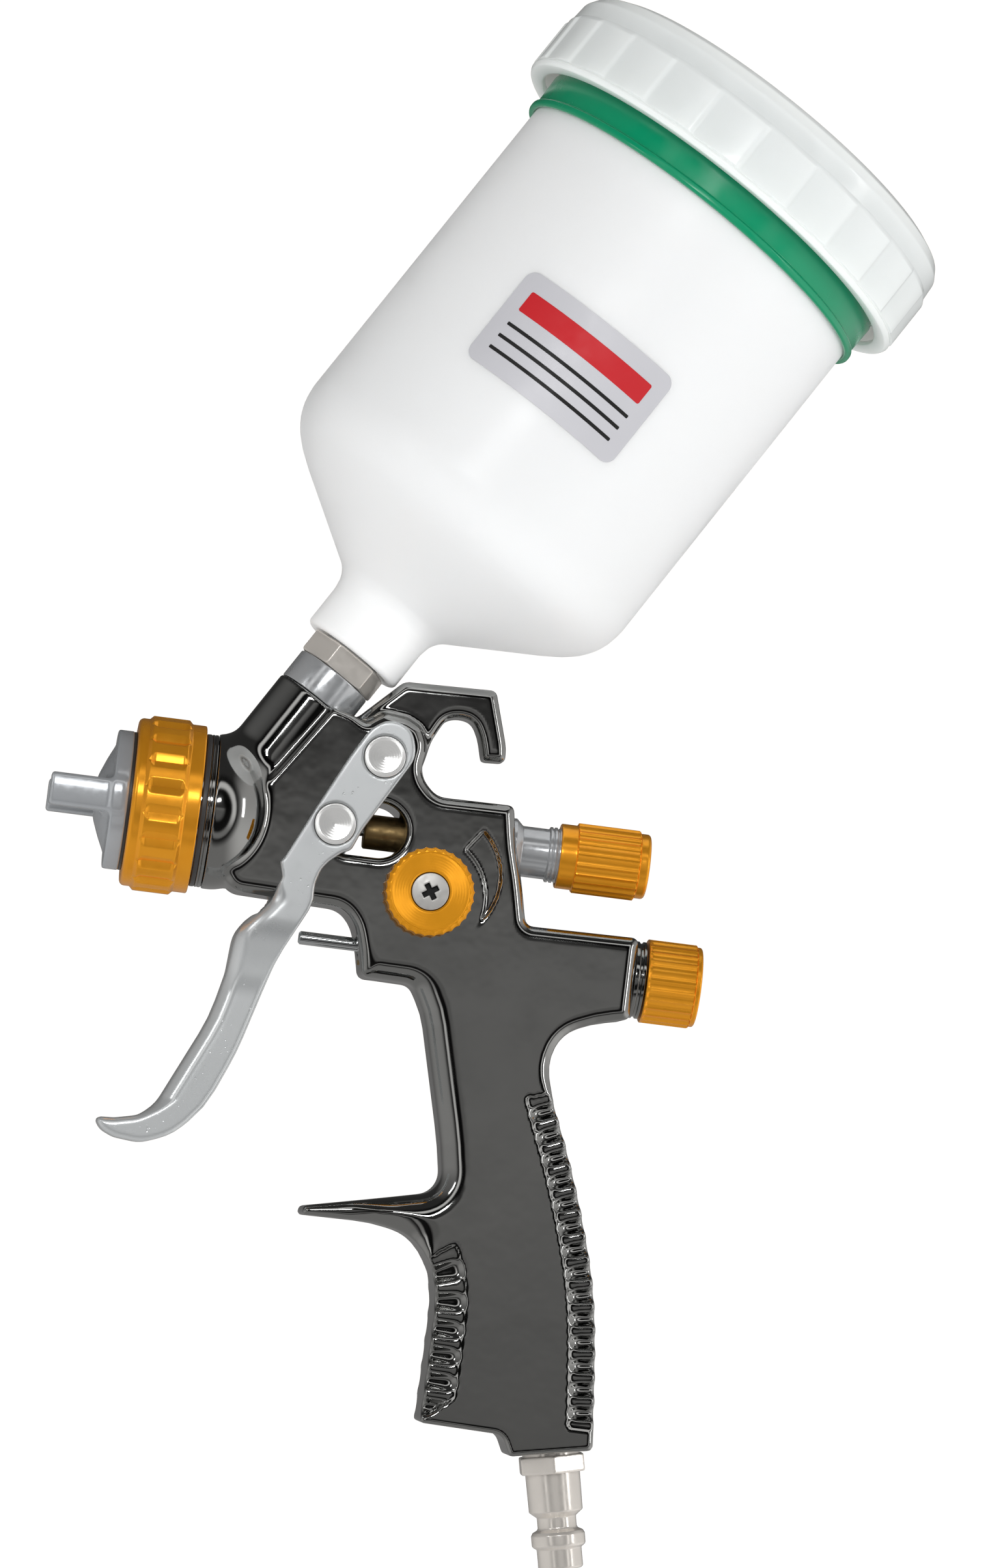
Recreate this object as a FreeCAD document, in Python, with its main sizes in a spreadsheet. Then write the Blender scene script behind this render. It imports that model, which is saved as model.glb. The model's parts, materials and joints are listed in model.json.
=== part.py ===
"""Gravity-feed paint spray gun: body, cup and lid, air cap and nozzle, trigger, needle, air valve, knobs, air plug.

Millimetres. The origin is the centre of the fluid tip. X is the spray axis and the gun sprays towards -X,
Z is up and Y is across the gun. The gun is symmetrical about Y = 0 except for the fan knob, on the -Y side.
"""
import FreeCAD
import Part
import os
import re
import Sketcher

Vector = FreeCAD.Vector
document = FreeCAD.newDocument("spray_gun")

# ---------------------------------------------------------------- driving dimensions
SIZES = [
    # head, measured along the spray axis from the fluid tip
    ("tip_bore", 0.8, "radius of the fluid tip's opening"),
    ("cap_face_radius", 4.0, "flat face of the air cap round the tip"),
    ("cap_flange_front", 3.5, "front of the air cap's flange"),
    ("cap_flange_back", 7.0, "back of the air cap's flange"),
    ("cap_radius", 15.5, "air cap's flange"),
    ("cap_skirt", 14.6, "air cap's skirt, inside the ring"),
    ("horn_reach", 10.3, "horns stand this far in front of the tip"),
    ("horn_half", 3.6, "half the width of a horn"),
    ("ring_front", 7.7, "front of the retaining ring"),
    ("ring_back", 22.75, "back of the retaining ring"),
    ("ring_lip", 18.7, "retaining ring's end lips"),
    ("ring_band", 19.5, "retaining ring's gripping band"),
    ("head_front", 16.0, "front of the body's threaded head"),
    ("head_thread", 15.95, "body's threaded head"),
    ("seal_radius", 17.0, "seal rings behind the retaining ring"),
    ("barrel_front", 25.7, "front of the barrel"),
    ("barrel_radius", 17.2, "barrel"),
    # needle line
    ("needle_radius", 1.2, "needle"),
    ("needle_end", 111.0, "back end of the needle"),
    ("collar_front", 60.2, "front of the needle's collar"),
    ("collar_back", 72.0, "back of the needle's collar"),
    ("collar_radius", 3.9, "needle's collar"),
    ("needle_chamber", 4.0, "bore that guides the collar"),
    ("bush_thread", 5.2, "fluid bush where it screws into the body"),
    ("bush_seat", 92.7, "face that the fluid bush seats on"),
    ("stud_thread", 6.2, "thread that carries the fluid knob"),
    ("fluid_knob_front", 103.9, "front of the fluid knob"),
    ("fluid_knob_back", 124.1, "back of the fluid knob"),
    ("fluid_knob_radius", 7.85, "fluid knob's grip"),
    # cup, measured along its own axis from the spray axis
    ("cup_foot", 28.9, "where the cup's axis crosses the spray axis"),
    ("cup_lean", 31.5, "cup's axis from the vertical, leaning back, degrees"),
    ("boss_top", 32.3, "top of the body's cup boss"),
    ("boss_radius", 9.3, "body's cup boss"),
    ("inlet_top", 39.3, "top of the steel inlet ring"),
    ("inlet_thread", 7.0, "inlet ring's thread in the cup's nut"),
    ("nut_top", 45.1, "top of the cup's nut"),
    ("nut_corner", 9.6, "cup's nut, centre to corner"),
    ("nut_spigot", 8.5, "cup's nut inside the cup's neck"),
    ("neck_radius", 12.1, "cup's neck"),
    ("cup_radius", 44.0, "cup's straight wall"),
    ("cup_wall", 2.0, "cup's wall thickness"),
    ("shoulder_top", 86.9, "top of the cup's rounded shoulder"),
    ("band_bottom", 166.7, "bottom of the cup's coloured band"),
    ("band_radius", 45.2, "cup's coloured band"),
    ("cup_rim", 191.0, "cup's rim"),
    ("lid_bottom", 174.0, "bottom of the lid's skirt"),
    ("lid_top", 196.5, "top of the lid"),
    ("lid_radius", 51.2, "lid's skirt"),
    ("label_bottom", 108.4, "bottom edge of the label"),
    ("label_tall", 24.0, "label along the cup"),
    ("label_sweep", 54.0, "label round the cup, degrees"),
    ("label_start", -120.0, "label's first edge round the cup, degrees"),
    # body
    ("body_wide", 21.0, "width of the body and the handle"),
    ("hook_wide", 10.0, "width of the hanging hook"),
    ("window_front", 48.0, "front of the needle window"),
    ("window_centre", 63.0, "centre of the needle window's round end"),
    ("window_radius", 6.1, "round end of the needle window"),
    # trigger
    ("pivot_back", 62.1, "trigger's pivot behind the fluid tip"),
    ("pivot_up", 16.1, "trigger's pivot above the spray axis"),
    ("pin_head", 4.6, "heads of the trigger's pins"),
    ("pin_shank", 3.0, "shank of the trigger's pivot pin"),
    ("drive_back", 53.0, "needle drive studs behind the fluid tip"),
    ("drive_radius", 3.8, "needle drive studs inside the window"),
    ("trigger_wide", 25.2, "trigger over its side plates"),
    ("trigger_gap", 21.6, "between the trigger's side plates"),
    ("lever_wide", 15.0, "width of the finger lever"),
    # fan control
    ("fan_back", 75.4, "fan knob's axis behind the fluid tip"),
    ("fan_down", 12.4, "fan knob's axis below the spray axis"),
    ("fan_knob_radius", 9.9, "fan knob"),
    ("fan_spool_radius", 3.85, "fan valve's spool"),
    # air valve
    ("valve_down", 25.3, "air valve's axis below the spray axis"),
    ("stem_radius", 1.5, "air valve's stem"),
    ("stem_front", 48.7, "front end of the air valve's stem"),
    ("chamber_radius", 6.4, "air valve's chamber"),
    ("valve_bush_radius", 7.35, "air valve's bush inside the body"),
    ("boss_back", 123.4, "back of the air valve's boss"),
    ("air_boss_radius", 9.1, "air valve's boss"),
    ("air_knob_front", 126.3, "front of the air knob"),
    ("air_knob_back", 138.5, "back of the air knob"),
    ("air_knob_radius", 9.35, "air knob"),
    # air inlet plug, measured along its own axis from the handle's foot
    ("plug_back", 118.5, "plug's seat behind the fluid tip"),
    ("plug_down", 132.2, "plug's seat below the spray axis"),
    ("plug_rake", 12.0, "plug's axis from the vertical, degrees"),
    ("plug_thread", 6.4, "plug's thread in the handle"),
    ("plug_nose", 5.0, "nose that the air coupling grips"),
    ("plug_length", 25.25, "plug below the handle"),
    ("air_way", 4.0, "air passage up the handle"),
]

sheet = document.addObject("Spreadsheet::Sheet", "sizes")
for row, (alias, value, meaning) in enumerate(SIZES, start=1):
    sheet.set("A%d" % row, meaning)
    sheet.set("B%d" % row, str(value))
    sheet.setAlias("B%d" % row, alias)
document.recompute()
ALIASES = {alias for alias, value, meaning in SIZES}
nodes = []


def bound(formula):
    """Point every driving dimension named in a formula at its cell."""
    return re.sub(r"[a-z_]+", lambda word: ("sizes." if word[0] in ALIASES else "") + word[0], str(formula))


def size(alias):
    """Value of one driving dimension."""
    return float(sheet.get(alias))


# ---------------------------------------------------------------- axes that parts are turned about
# name: (origin plane, first offset, second offset, turn in degrees), as formulas of the driving dimensions
AXES = {
    "spray": ("XZ_Plane", "0", "0", "0"),
    "cup": ("XZ_Plane", "cup_foot", "0", "90 - cup_lean"),
    "valve": ("XZ_Plane", "0", "0 - valve_down", "0"),
    "plug": ("XZ_Plane", "plug_back", "0 - plug_down", "plug_rake - 90"),
}


# ---------------------------------------------------------------- how sketches and features are made
def new_body(node):
    """Start the body of one sub-part."""
    body = document.addObject("PartDesign::Body", node)
    body.Label = node
    nodes.append(body)
    return body


def new_sketch(body, name, plane, along="0", up="0", turn="0", lift="0"):
    """Attach a sketch to one of its body's origin planes, moved and turned within that plane."""
    sketch = body.newObject("Sketcher::SketchObject", body.Name + "_" + name)
    support = [item for item in body.Origin.OriginFeatures if item.Role == plane][0]
    sketch.AttachmentSupport = [(support, "")]
    sketch.MapMode = "FlatFace"
    sketch.AttachmentOffset = FreeCAD.Placement(Vector(0, 0, 0), FreeCAD.Rotation(Vector(0, 0, 1), 1))
    sketch.setExpression("AttachmentOffset.Base.x", bound(along))
    sketch.setExpression("AttachmentOffset.Base.y", bound(up))
    sketch.setExpression("AttachmentOffset.Base.z", bound(lift))
    sketch.setExpression("AttachmentOffset.Rotation.Angle", "(%s) * 1 deg" % bound(turn))
    return sketch


def draw_outline(sketch, corners):
    """Draw a closed outline through its corners and hold each corner at its two formulas."""
    count = len(corners)
    values = [tuple(evaluate(formula) for formula in corner) for corner in corners]
    first = sketch.GeometryCount
    for index in range(count):
        start = Vector(*values[index], 0)
        end = Vector(*values[(index + 1) % count], 0)
        sketch.addGeometry(Part.LineSegment(start, end), False)
    for index in range(count):
        follower = first + (index + 1) % count
        sketch.addConstraint(Sketcher.Constraint("Coincident", first + index, 2, follower, 1))
        for direction, formula, value in zip(("DistanceX", "DistanceY"), corners[index], values[index]):
            held = sketch.addConstraint(Sketcher.Constraint(direction, -1, 1, first + index, 1, value))
            if isinstance(formula, str):
                sketch.setExpression("Constraints[%d]" % held, bound(formula))


def draw_circle(sketch, along, up, radius):
    """Draw a circle held by the formulas of its centre and radius."""
    centre = Vector(evaluate(along), evaluate(up), 0)
    circle = sketch.addGeometry(Part.Circle(centre, Vector(0, 0, 1), evaluate(radius)), False)
    held = sketch.addConstraint(Sketcher.Constraint("DistanceX", -1, 1, circle, 3, centre.x))
    sketch.setExpression("Constraints[%d]" % held, bound(along))
    held = sketch.addConstraint(Sketcher.Constraint("DistanceY", -1, 1, circle, 3, centre.y))
    sketch.setExpression("Constraints[%d]" % held, bound(up))
    held = sketch.addConstraint(Sketcher.Constraint("Radius", circle, evaluate(radius)))
    sketch.setExpression("Constraints[%d]" % held, bound(radius))


def evaluate(formula):
    """Work out a formula of the driving dimensions now, for a sketch's first shape."""
    if not isinstance(formula, str):
        return float(formula)
    return float(sheet.evalExpression(bound(formula)))


def turn_about(body, name, axis, profile, cut=False):
    """Turn a profile of (along, radius) corners about a named axis, to add or to cut."""
    plane, along, up, turn = AXES[axis]
    sketch = new_sketch(body, name + "_profile", plane, along, up, turn)
    draw_outline(sketch, profile)
    kind = "PartDesign::Groove" if cut else "PartDesign::Revolution"
    feature = body.newObject(kind, body.Name + "_" + name)
    feature.Profile = sketch
    feature.ReferenceAxis = (sketch, ["H_Axis"])
    feature.Angle = 360
    return feature


def turn_across(body, name, along, up, profile, cut=False):
    """Turn a profile about an axis across the gun; its first coordinate points out to the -Y side."""
    sketch = new_sketch(body, name + "_profile", "XY_Plane", along, "0", "-90", lift=up)
    draw_outline(sketch, profile)
    kind = "PartDesign::Groove" if cut else "PartDesign::Revolution"
    feature = body.newObject(kind, body.Name + "_" + name)
    feature.Profile = sketch
    feature.ReferenceAxis = (sketch, ["H_Axis"])
    feature.Angle = 360
    return feature


def turned(node, axis, profile):
    """A sub-part that is one turned profile."""
    body = new_body(node)
    turn_about(body, "turning", axis, profile)
    return body


def pad_sideways(body, name, draw, wide, cut=False):
    """Pad or pocket a side outline equally to both sides of the gun's middle plane."""
    sketch = new_sketch(body, name + "_outline", "XZ_Plane")
    draw(sketch)
    feature = body.newObject("PartDesign::Pocket" if cut else "PartDesign::Pad", body.Name + "_" + name)
    feature.Profile = sketch
    feature.SideType = "Symmetric"
    feature.setExpression("Length", bound(wide))
    return feature


def outline(corners):
    """A drawing function for pad_sideways, for an outline of corners."""
    return lambda sketch: draw_outline(sketch, corners)


def circle(along, up, radius):
    """A drawing function for pad_sideways, for a circle."""
    return lambda sketch: draw_circle(sketch, along, up, radius)


def add_hexagon(body, name, axis, start, tall, corner, spin):
    """Add a hexagonal prism along a named axis; its distance, height and corner radius are formulas."""
    plane, along, up, turn = AXES[axis]
    prism = body.newObject("PartDesign::AdditivePrism", body.Name + "_" + name)
    prism.Polygon = 6
    prism.setExpression("Circumradius", bound(corner))
    prism.setExpression("Height", bound(tall))
    support = [item for item in body.Origin.OriginFeatures if item.Role == "XY_Plane"][0]
    prism.AttachmentSupport = [(support, "")]
    prism.MapMode = "FlatFace"
    lean = 90 - evaluate(turn)
    way = FreeCAD.Rotation(Vector(0, 1, 0), lean)
    foot = Vector(evaluate(along), 0, evaluate(up)) + way.multVec(Vector(0, 0, evaluate(start)))
    prism.AttachmentOffset = FreeCAD.Placement(foot, way.multiply(FreeCAD.Rotation(Vector(0, 0, 1), spin)))
    return prism


def add_coil(node, axis, front, back, coil_radius, wire_radius, turns):
    """A coil spring of round wire, wound about a named axis from its front to its back."""
    plane, along, up, turn = AXES[axis]
    body = new_body(node)
    sketch = new_sketch(body, "wire", plane, along, up, turn)
    draw_circle(sketch, "(%s) + %s" % (front, wire_radius), coil_radius, wire_radius)
    coil = body.newObject("PartDesign::AdditiveHelix", node + "_coil")
    coil.Profile = sketch
    coil.ReferenceAxis = (sketch, ["H_Axis"])
    coil.Mode = "height-turns-angle"
    coil.setExpression("Height", bound("(%s) - (%s) - 2 * %s" % (back, front, wire_radius)))
    coil.Turns = turns
    return body


# ---------------------------------------------------------------- cast body
BODY_OUTLINE = [
    # under the barrel and down to the air valve's front
    ("barrel_front + 10", "0 - barrel_radius"),
    (57.0, -17.9), (59.5, -19.3), (61.2, -23.4), (62.1, -26.9), (63.3, -31.6), (64.6, -33.0),
    # front of the handle, with the finger spur
    (74.4, -32.8), (76.8, -34.6), (78.1, -38.6), (85.4, -67.4), (86.2, -74.9), (82.9, -78.4),
    (70.9, -81.1), (57.8, -84.1), (56.1, -85.2), (56.7, -86.1), (72.6, -86.0), (79.8, -87.4),
    (84.0, -90.7), (86.8, -94.5), (88.2, -101.9), (87.9, -128.4),
    # foot of the handle, square to the plug
    ("plug_back - 11.9", -129.1), ("plug_back - 9.7", "0 - plug_down - 1.3"),
    ("plug_back - 7.1", "0 - plug_down - 1.5"), ("plug_back + 7.9", "0 - plug_down + 2.0"), (126.5, -129.0),
    # back of the handle
    (125.8, -119.2), (124.1, -103.0), (122.1, -92.0), (117.4, -76.6), (112.7, -64.0), (108.3, -54.0),
    (107.0, -47.6), (107.0, -44.1), (108.4, -41.9), (112.1, -38.6), (116.0, -36.4),
    # over the air valve's boss and up to the fluid bush
    (116.0, -17.0), (101.2, -17.0), (98.1, -15.5), (95.7, -6.3), (94.1, -1.2), (92.6, 8.5), (91.1, 9.3),
    (76.3, 9.2), (74.0, 9.7), (71.5, 11.8), (70.6, 14.6), (71.9, 19.5),
    # over the trigger's pivot and back along the cup's boss
    (66.0, 24.0), (55.0, 23.0), (46.0, 14.0), ("barrel_front + 10", 12.0),
]
HOOK_OUTLINE = [
    (52.0, 16.0), (53.8, 22.7), (57.5, 26.7), (64.9, 33.5), (66.2, 34.0), (85.1, 34.5), (86.1, 33.5),
    (89.2, 23.3), (89.4, 19.7), (87.7, 18.8), (85.0, 18.9), (84.1, 19.7), (83.0, 23.9), (81.4, 26.3),
    (78.3, 27.4), (75.1, 26.2), (73.3, 23.0), (71.9, 19.5), (70.6, 14.6), (66.0, 12.0),
]


def make_gun_body():
    """The casting: barrel, cup boss, hook, handle and valve boss, with every bore that the valves need."""
    body = new_body("gun_body")
    pad_sideways(body, "plate", outline(BODY_OUTLINE), "body_wide")
    pad_sideways(body, "hook", outline(HOOK_OUTLINE), "hook_wide")
    turn_about(body, "barrel", "spray", [
        ("head_front", 0), ("head_front", "head_thread"), ("barrel_front", "head_thread"),
        ("barrel_front", "barrel_radius"), ("barrel_front + 10.3", "barrel_radius"),
        ("barrel_front + 17.3", 11.0), ("barrel_front + 17.3", 0)])
    turn_about(body, "cup_boss", "cup", [
        (0, 0), (0, "boss_radius"), (11.5, 10.8), (13.6, 10.5), (16.0, 9.6), (20.0, "boss_radius"),
        ("boss_top", "boss_radius"), ("boss_top", 0)])
    turn_about(body, "air_boss", "valve", [
        (100.0, 0), (100.0, "air_boss_radius"), ("boss_back", "air_boss_radius"), ("boss_back", 0)])
    pad_sideways(body, "window", outline([
        ("window_front", "0 - window_radius"), ("window_centre", "0 - window_radius"),
        ("window_centre", "window_radius"), ("window_front", "window_radius")]), "body_wide + 2", cut=True)
    pad_sideways(body, "window_end", circle("window_centre", "0", "window_radius"), "body_wide + 2", cut=True)
    turn_about(body, "fluid_way", "spray", [
        ("head_front - 1", 0), ("head_front - 1", 7.2), (32.0, 7.2), (32.0, 4.2), (38.0, 4.2),
        (38.0, "needle_radius + 0.25"), (40.0, "needle_radius + 0.25"), (40.0, 3.0), (50.0, 3.0), (50.0, 0)],
        cut=True)
    turn_about(body, "needle_way", "spray", [
        ("window_centre", 0), ("window_centre", "needle_chamber"), (84.0, "needle_chamber"),
        (84.0, "bush_thread"), ("bush_seat", "bush_thread"), ("bush_seat", 7.4), (100.0, 7.4), (100.0, 0)],
        cut=True)
    turn_about(body, "cup_way", "cup", [
        (0, 0), (0, 4.0), (24.0, 4.0), (24.0, "inlet_thread - 0.1"), ("boss_top + 1", "inlet_thread - 0.1"),
        ("boss_top + 1", 0)], cut=True)
    turn_about(body, "air_valve_way", "valve", [
        (55.0, 0), (55.0, 4.5), (70.0, 4.5), (70.0, 3.2), (76.0, 3.2), (76.0, "chamber_radius"),
        (100.0, "chamber_radius"), (100.0, "valve_bush_radius"), ("boss_back + 1", "valve_bush_radius"),
        ("boss_back + 1", 0)], cut=True)
    turn_about(body, "handle_way", "plug", [
        (-108.0, 0), (-108.0, "air_way"), (-11.0, "air_way"), (-11.0, "plug_thread"), (6.0, "plug_thread"),
        (6.0, 0)], cut=True)
    turn_across(body, "fan_way", "fan_back", "0 - fan_down", [
        (-8.0, 0), (-8.0, "fan_spool_radius + 0.05"), (6.5, "fan_spool_radius + 0.05"), (6.5, 5.0),
        ("body_wide / 2 + 1", 5.0), ("body_wide / 2 + 1", 0)], cut=True)
    pad_sideways(body, "pivot_hole", circle("pivot_back", "pivot_up", "pin_shank"), "body_wide + 2", cut=True)


# ---------------------------------------------------------------- head: nozzle, air cap and its ring
def make_head():
    """Everything in front of the barrel."""
    turned("fluid_nozzle", "spray", [
        (0, "tip_bore"), (0, 1.7), (2.6, 1.8), (9.0, 6.0), (13.0, 6.0), (13.0, 10.5), (15.9, 10.5),
        (15.9, 7.2), (31.0, 7.2), (31.0, 2.4), (8.0, 2.4), (1.0, "tip_bore")])
    turned("air_baffle", "spray", [
        (12.9, 10.8), (12.9, 13.8), (15.9, 13.8), (15.9, 10.8)])
    turned("head_seal", "spray", [
        ("ring_back + 0.3", "head_thread"), ("ring_back + 0.3", "seal_radius"),
        ("ring_back + 1.5", "seal_radius"), ("ring_back + 1.5", "head_thread")])
    turned("head_wear_ring", "spray", [
        ("ring_back + 1.5", "head_thread"), ("ring_back + 1.5", "seal_radius"),
        ("barrel_front", "seal_radius"), ("barrel_front", "head_thread")])
    turned("air_cap_ring", "spray", [
        ("ring_front", "cap_skirt + 0.06"), ("ring_front", "ring_lip"), (10.5, "ring_lip"),
        (10.9, "ring_band"), (18.7, "ring_band"), (19.1, "ring_lip"), ("ring_back", "ring_lip"),
        ("ring_back", "head_thread + 0.05"), (12.4, "head_thread + 0.05"), (12.4, "cap_skirt + 0.06")])
    make_air_cap()
    turned("cap_slip_ring", "spray", [
        ("cap_flange_back", "cap_skirt"), ("cap_flange_back", 15.9), ("cap_flange_back + 0.4", 15.9),
        ("cap_flange_back + 0.4", "cap_skirt")])


def make_air_cap():
    """Domed cap with a centre hole round the tip, and a horn at each side that shapes the fan."""
    body = new_body("air_cap")
    turn_about(body, "dome", "spray", [
        (0, 2.2), (0, "cap_face_radius"), (0.3, 5.2), (1.7, 8.8), (3.4, 13.3),
        ("cap_flange_front", "cap_radius"), ("cap_flange_back", "cap_radius"),
        ("cap_flange_back", "cap_skirt"), (12.0, "cap_skirt"), (12.0, 12.8), (8.4, 12.8), (5.0, 10.0),
        (2.2, 5.0), (1.2, 2.2)])
    horn = new_sketch(body, "horn_outline", "XY_Plane")
    draw_outline(horn, [
        ("cap_flange_front + 2.5", "cap_radius - 0.55"), ("0 - horn_reach", "cap_radius - 0.55"),
        ("0 - horn_reach", 11.0), (-8.4, 9.6), (2.2, 9.0), ("cap_flange_front + 2.5", 11.5)])
    pad = body.newObject("PartDesign::Pad", "air_cap_horn")
    pad.Profile = horn
    pad.SideType = "Symmetric"
    pad.setExpression("Length", bound("2 * horn_half"))
    document.recompute()
    twin = body.newObject("PartDesign::Mirrored", "air_cap_horn_pair")
    twin.Originals = [pad]
    middle = [item for item in body.Origin.OriginFeatures if item.Role == "XZ_Plane"][0]
    twin.MirrorPlane = (middle, [""])
    body.Tip = twin


# ---------------------------------------------------------------- needle line
def make_needle_line():
    """Needle, its collar, packing and spring, and the bush and knob behind the body."""
    turned("needle", "spray", [
        (-0.5, 0), (-0.5, 0.3), (4.5, "needle_radius"), ("needle_end", "needle_radius"), ("needle_end", 0)])
    turned("needle_collar", "spray", [
        ("collar_front", "needle_radius"), ("collar_front", "collar_radius - 0.3"),
        ("collar_front + 0.3", "collar_radius"), ("collar_back", "collar_radius"),
        ("collar_back", "needle_radius")])
    turned("needle_packing", "spray", [
        (40.0, "needle_radius + 0.05"), (40.0, 3.0), (44.0, 3.0), (44.0, "needle_radius + 0.05")])
    turned("packing_nut", "spray", [
        (44.0, "needle_radius + 0.1"), (44.0, 3.0), ("window_front - 0.1", 3.0),
        ("window_front - 0.1", "needle_radius + 0.1")])
    add_coil("needle_spring", "spray", "collar_back + 0.3", "fluid_knob_back - 7.4", "2.8", "0.45", 16)
    turned("fluid_bush", "spray", [
        (84.0, 3.6), (84.0, "bush_thread"), ("bush_seat", "bush_thread"), ("bush_seat", 7.1),
        ("bush_seat + 1.3", 7.1), ("bush_seat + 2.6", 5.65), (101.5, 5.65), (101.5, "stud_thread"),
        (113.0, "stud_thread"), (113.0, 3.6)])
    turned("fluid_knob", "spray", [
        ("fluid_knob_front", "stud_thread + 0.06"), ("fluid_knob_front", 7.25), (107.6, 7.25),
        (107.8, "fluid_knob_radius"), (121.5, "fluid_knob_radius"), (122.0, 7.25),
        ("fluid_knob_back - 0.5", 7.25), ("fluid_knob_back", 6.75), ("fluid_knob_back", 0),
        ("fluid_knob_back - 7.1", 0), ("fluid_knob_back - 7.1", "stud_thread + 0.06")])


# ---------------------------------------------------------------- cup and lid
def make_cup():
    """The steel inlet ring, the nut moulded into the cup's neck, the cup and what is on it."""
    turned("fluid_inlet_ring", "cup", [
        (24.0, 4.0), (24.0, "inlet_thread - 0.1"), ("boss_top", "inlet_thread - 0.1"), ("boss_top", 9.1),
        ("inlet_top", 9.1), ("inlet_top", "inlet_thread"), (50.0, "inlet_thread"), (50.0, 4.0)])
    nut = new_body("cup_outlet_nut")
    add_hexagon(nut, "hexagon", "cup", "inlet_top", "nut_top - inlet_top", "nut_corner", 0)
    turn_about(nut, "spigot", "cup", [
        ("nut_top - 1", 0), ("nut_top - 1", "nut_spigot"), (57.0, "nut_spigot"), (57.0, 0)])
    turn_about(nut, "thread", "cup", [
        ("inlet_top - 1", 0), ("inlet_top - 1", "inlet_thread"), (58.0, "inlet_thread"), (58.0, 0)], cut=True)
    turned("cup_body", "cup", [
        ("nut_top", "nut_spigot"), ("nut_top", "neck_radius - 1.3"), ("nut_top + 1.3", "neck_radius"),
        (54.9, "neck_radius"), (57.6, 12.6), (59.9, 14.0), (66.9, 25.0), (72.5, 33.8), (75.2, 37.6),
        (77.6, 40.2), (80.2, 42.1), (83.2, 43.4), ("shoulder_top", "cup_radius"),
        ("cup_rim - 12", "cup_radius"), ("cup_rim - 12", "cup_radius + 2.8"),
        ("cup_rim", "cup_radius + 2.8"), ("cup_rim", "cup_radius - cup_wall"),
        ("shoulder_top + 0.5", "cup_radius - cup_wall"), (84.0, 41.5), (81.2, 40.4), (78.8, 38.7),
        (76.6, 36.3), (61.5, 12.5), (58.5, "nut_spigot")])
    turned("cup_band", "cup", [
        ("band_bottom", "cup_radius"), ("band_bottom", "band_radius"), ("band_bottom + 7", "band_radius"),
        ("band_bottom + 7", "cup_radius")])
    turned("cup_strainer", "cup", [
        (50.2, 4.6), (50.2, "inlet_thread - 0.1"), (74.0, "inlet_thread - 0.1"), (74.0, 0), (73.0, 0),
        (73.0, 6.0), (51.2, 6.0), (51.2, 4.6)])
    turned("cup_lid", "cup", [
        ("lid_bottom", "lid_radius - 1.9"), ("lid_bottom", "lid_radius - 0.8"),
        ("lid_bottom + 1.4", "lid_radius"), (188.3, "lid_radius"), (188.9, "lid_radius - 1.0"),
        (192.5, "lid_radius - 1.4"), (194.9, "lid_radius - 3.2"), ("lid_top - 0.3", "lid_radius - 5.7"),
        ("lid_top", 42.0), ("lid_top", 3.0), ("lid_top - 2", 3.0),
        ("lid_top - 2", 40.0), ("lid_top - 3.9", 41.0), ("lid_top - 3.9", "lid_radius - 2.4")])
    turned("lid_gasket", "cup", [
        ("cup_rim + 0.2", "cup_radius - cup_wall"), ("lid_top - 3.9", "cup_radius - cup_wall"),
        ("lid_top - 3.9", "cup_radius + 2.8"), ("cup_rim + 0.2", "cup_radius + 2.8")])
    turned("lid_vent_plug", "cup", [
        ("lid_top - 3.5", 0), ("lid_top - 3.5", 3.0), ("lid_top", 3.0), ("lid_top", 6.0),
        ("lid_top + 1.2", 5.4), ("lid_top + 1.2", 0)])
    make_label()


def make_label():
    """A thin label that wraps part of the way round the cup."""
    solids = []
    for name, extra in (("label_outside", 0.25), ("label_inside", 0.0)):
        wedge = document.addObject("Part::Cylinder", name)
        wedge.setExpression("Radius", bound("cup_radius + %s" % extra))
        wedge.setExpression("Height", bound("label_tall"))
        wedge.setExpression("Angle", "%s * 1 deg" % bound("label_sweep"))
        solids.append(wedge)
    label = document.addObject("Part::Cut", "cup_label")
    label.Base, label.Tool = solids
    label.Label = "cup_label"
    tilt = FreeCAD.Rotation(Vector(0, 1, 0), size("cup_lean"))
    foot = Vector(size("cup_foot"), 0, 0) + tilt.multVec(Vector(0, 0, size("label_bottom")))
    start = FreeCAD.Rotation(Vector(0, 0, 1), size("label_start"))
    label.Placement = FreeCAD.Placement(foot, tilt.multiply(start))
    nodes.append(label)


# ---------------------------------------------------------------- trigger
TRIGGER_PLATE = [
    (58.4, 22.2), (54.6, 15.6), (48.6, 3.5), (42.9, -8.6), (42.2, -9.6), (42.7, -13.7), (38.6, -20.2),
    (34.2, -26.2), (33.7, -31.7), (44.2, -31.7), (48.5, -21.8), (50.3, -18.2), (50.2, -14.1), (51.2, -10.2),
    (52.8, -8.2), (55.4, -6.0), (57.2, -5.8), (59.2, -0.5), (69.2, 17.1), (69.2, 19.6), (67.6, 22.4),
    (64.6, 24.2), (61.4, 24.2),
]
TRIGGER_LEVER = [
    (34.2, -26.2), (33.6, -35.0), (31.2, -45.4), (21.7, -65.9), (18.2, -68.8), (12.9, -70.0), (8.7, -70.4),
    (10.2, -72.8), (13.4, -74.0), (19.5, -74.8), (25.8, -72.4), (32.5, -65.6), (38.0, -52.4), (43.6, -32.1),
    (47.0, -25.0), (47.0, -20.0), (38.6, -20.0),
]


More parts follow.
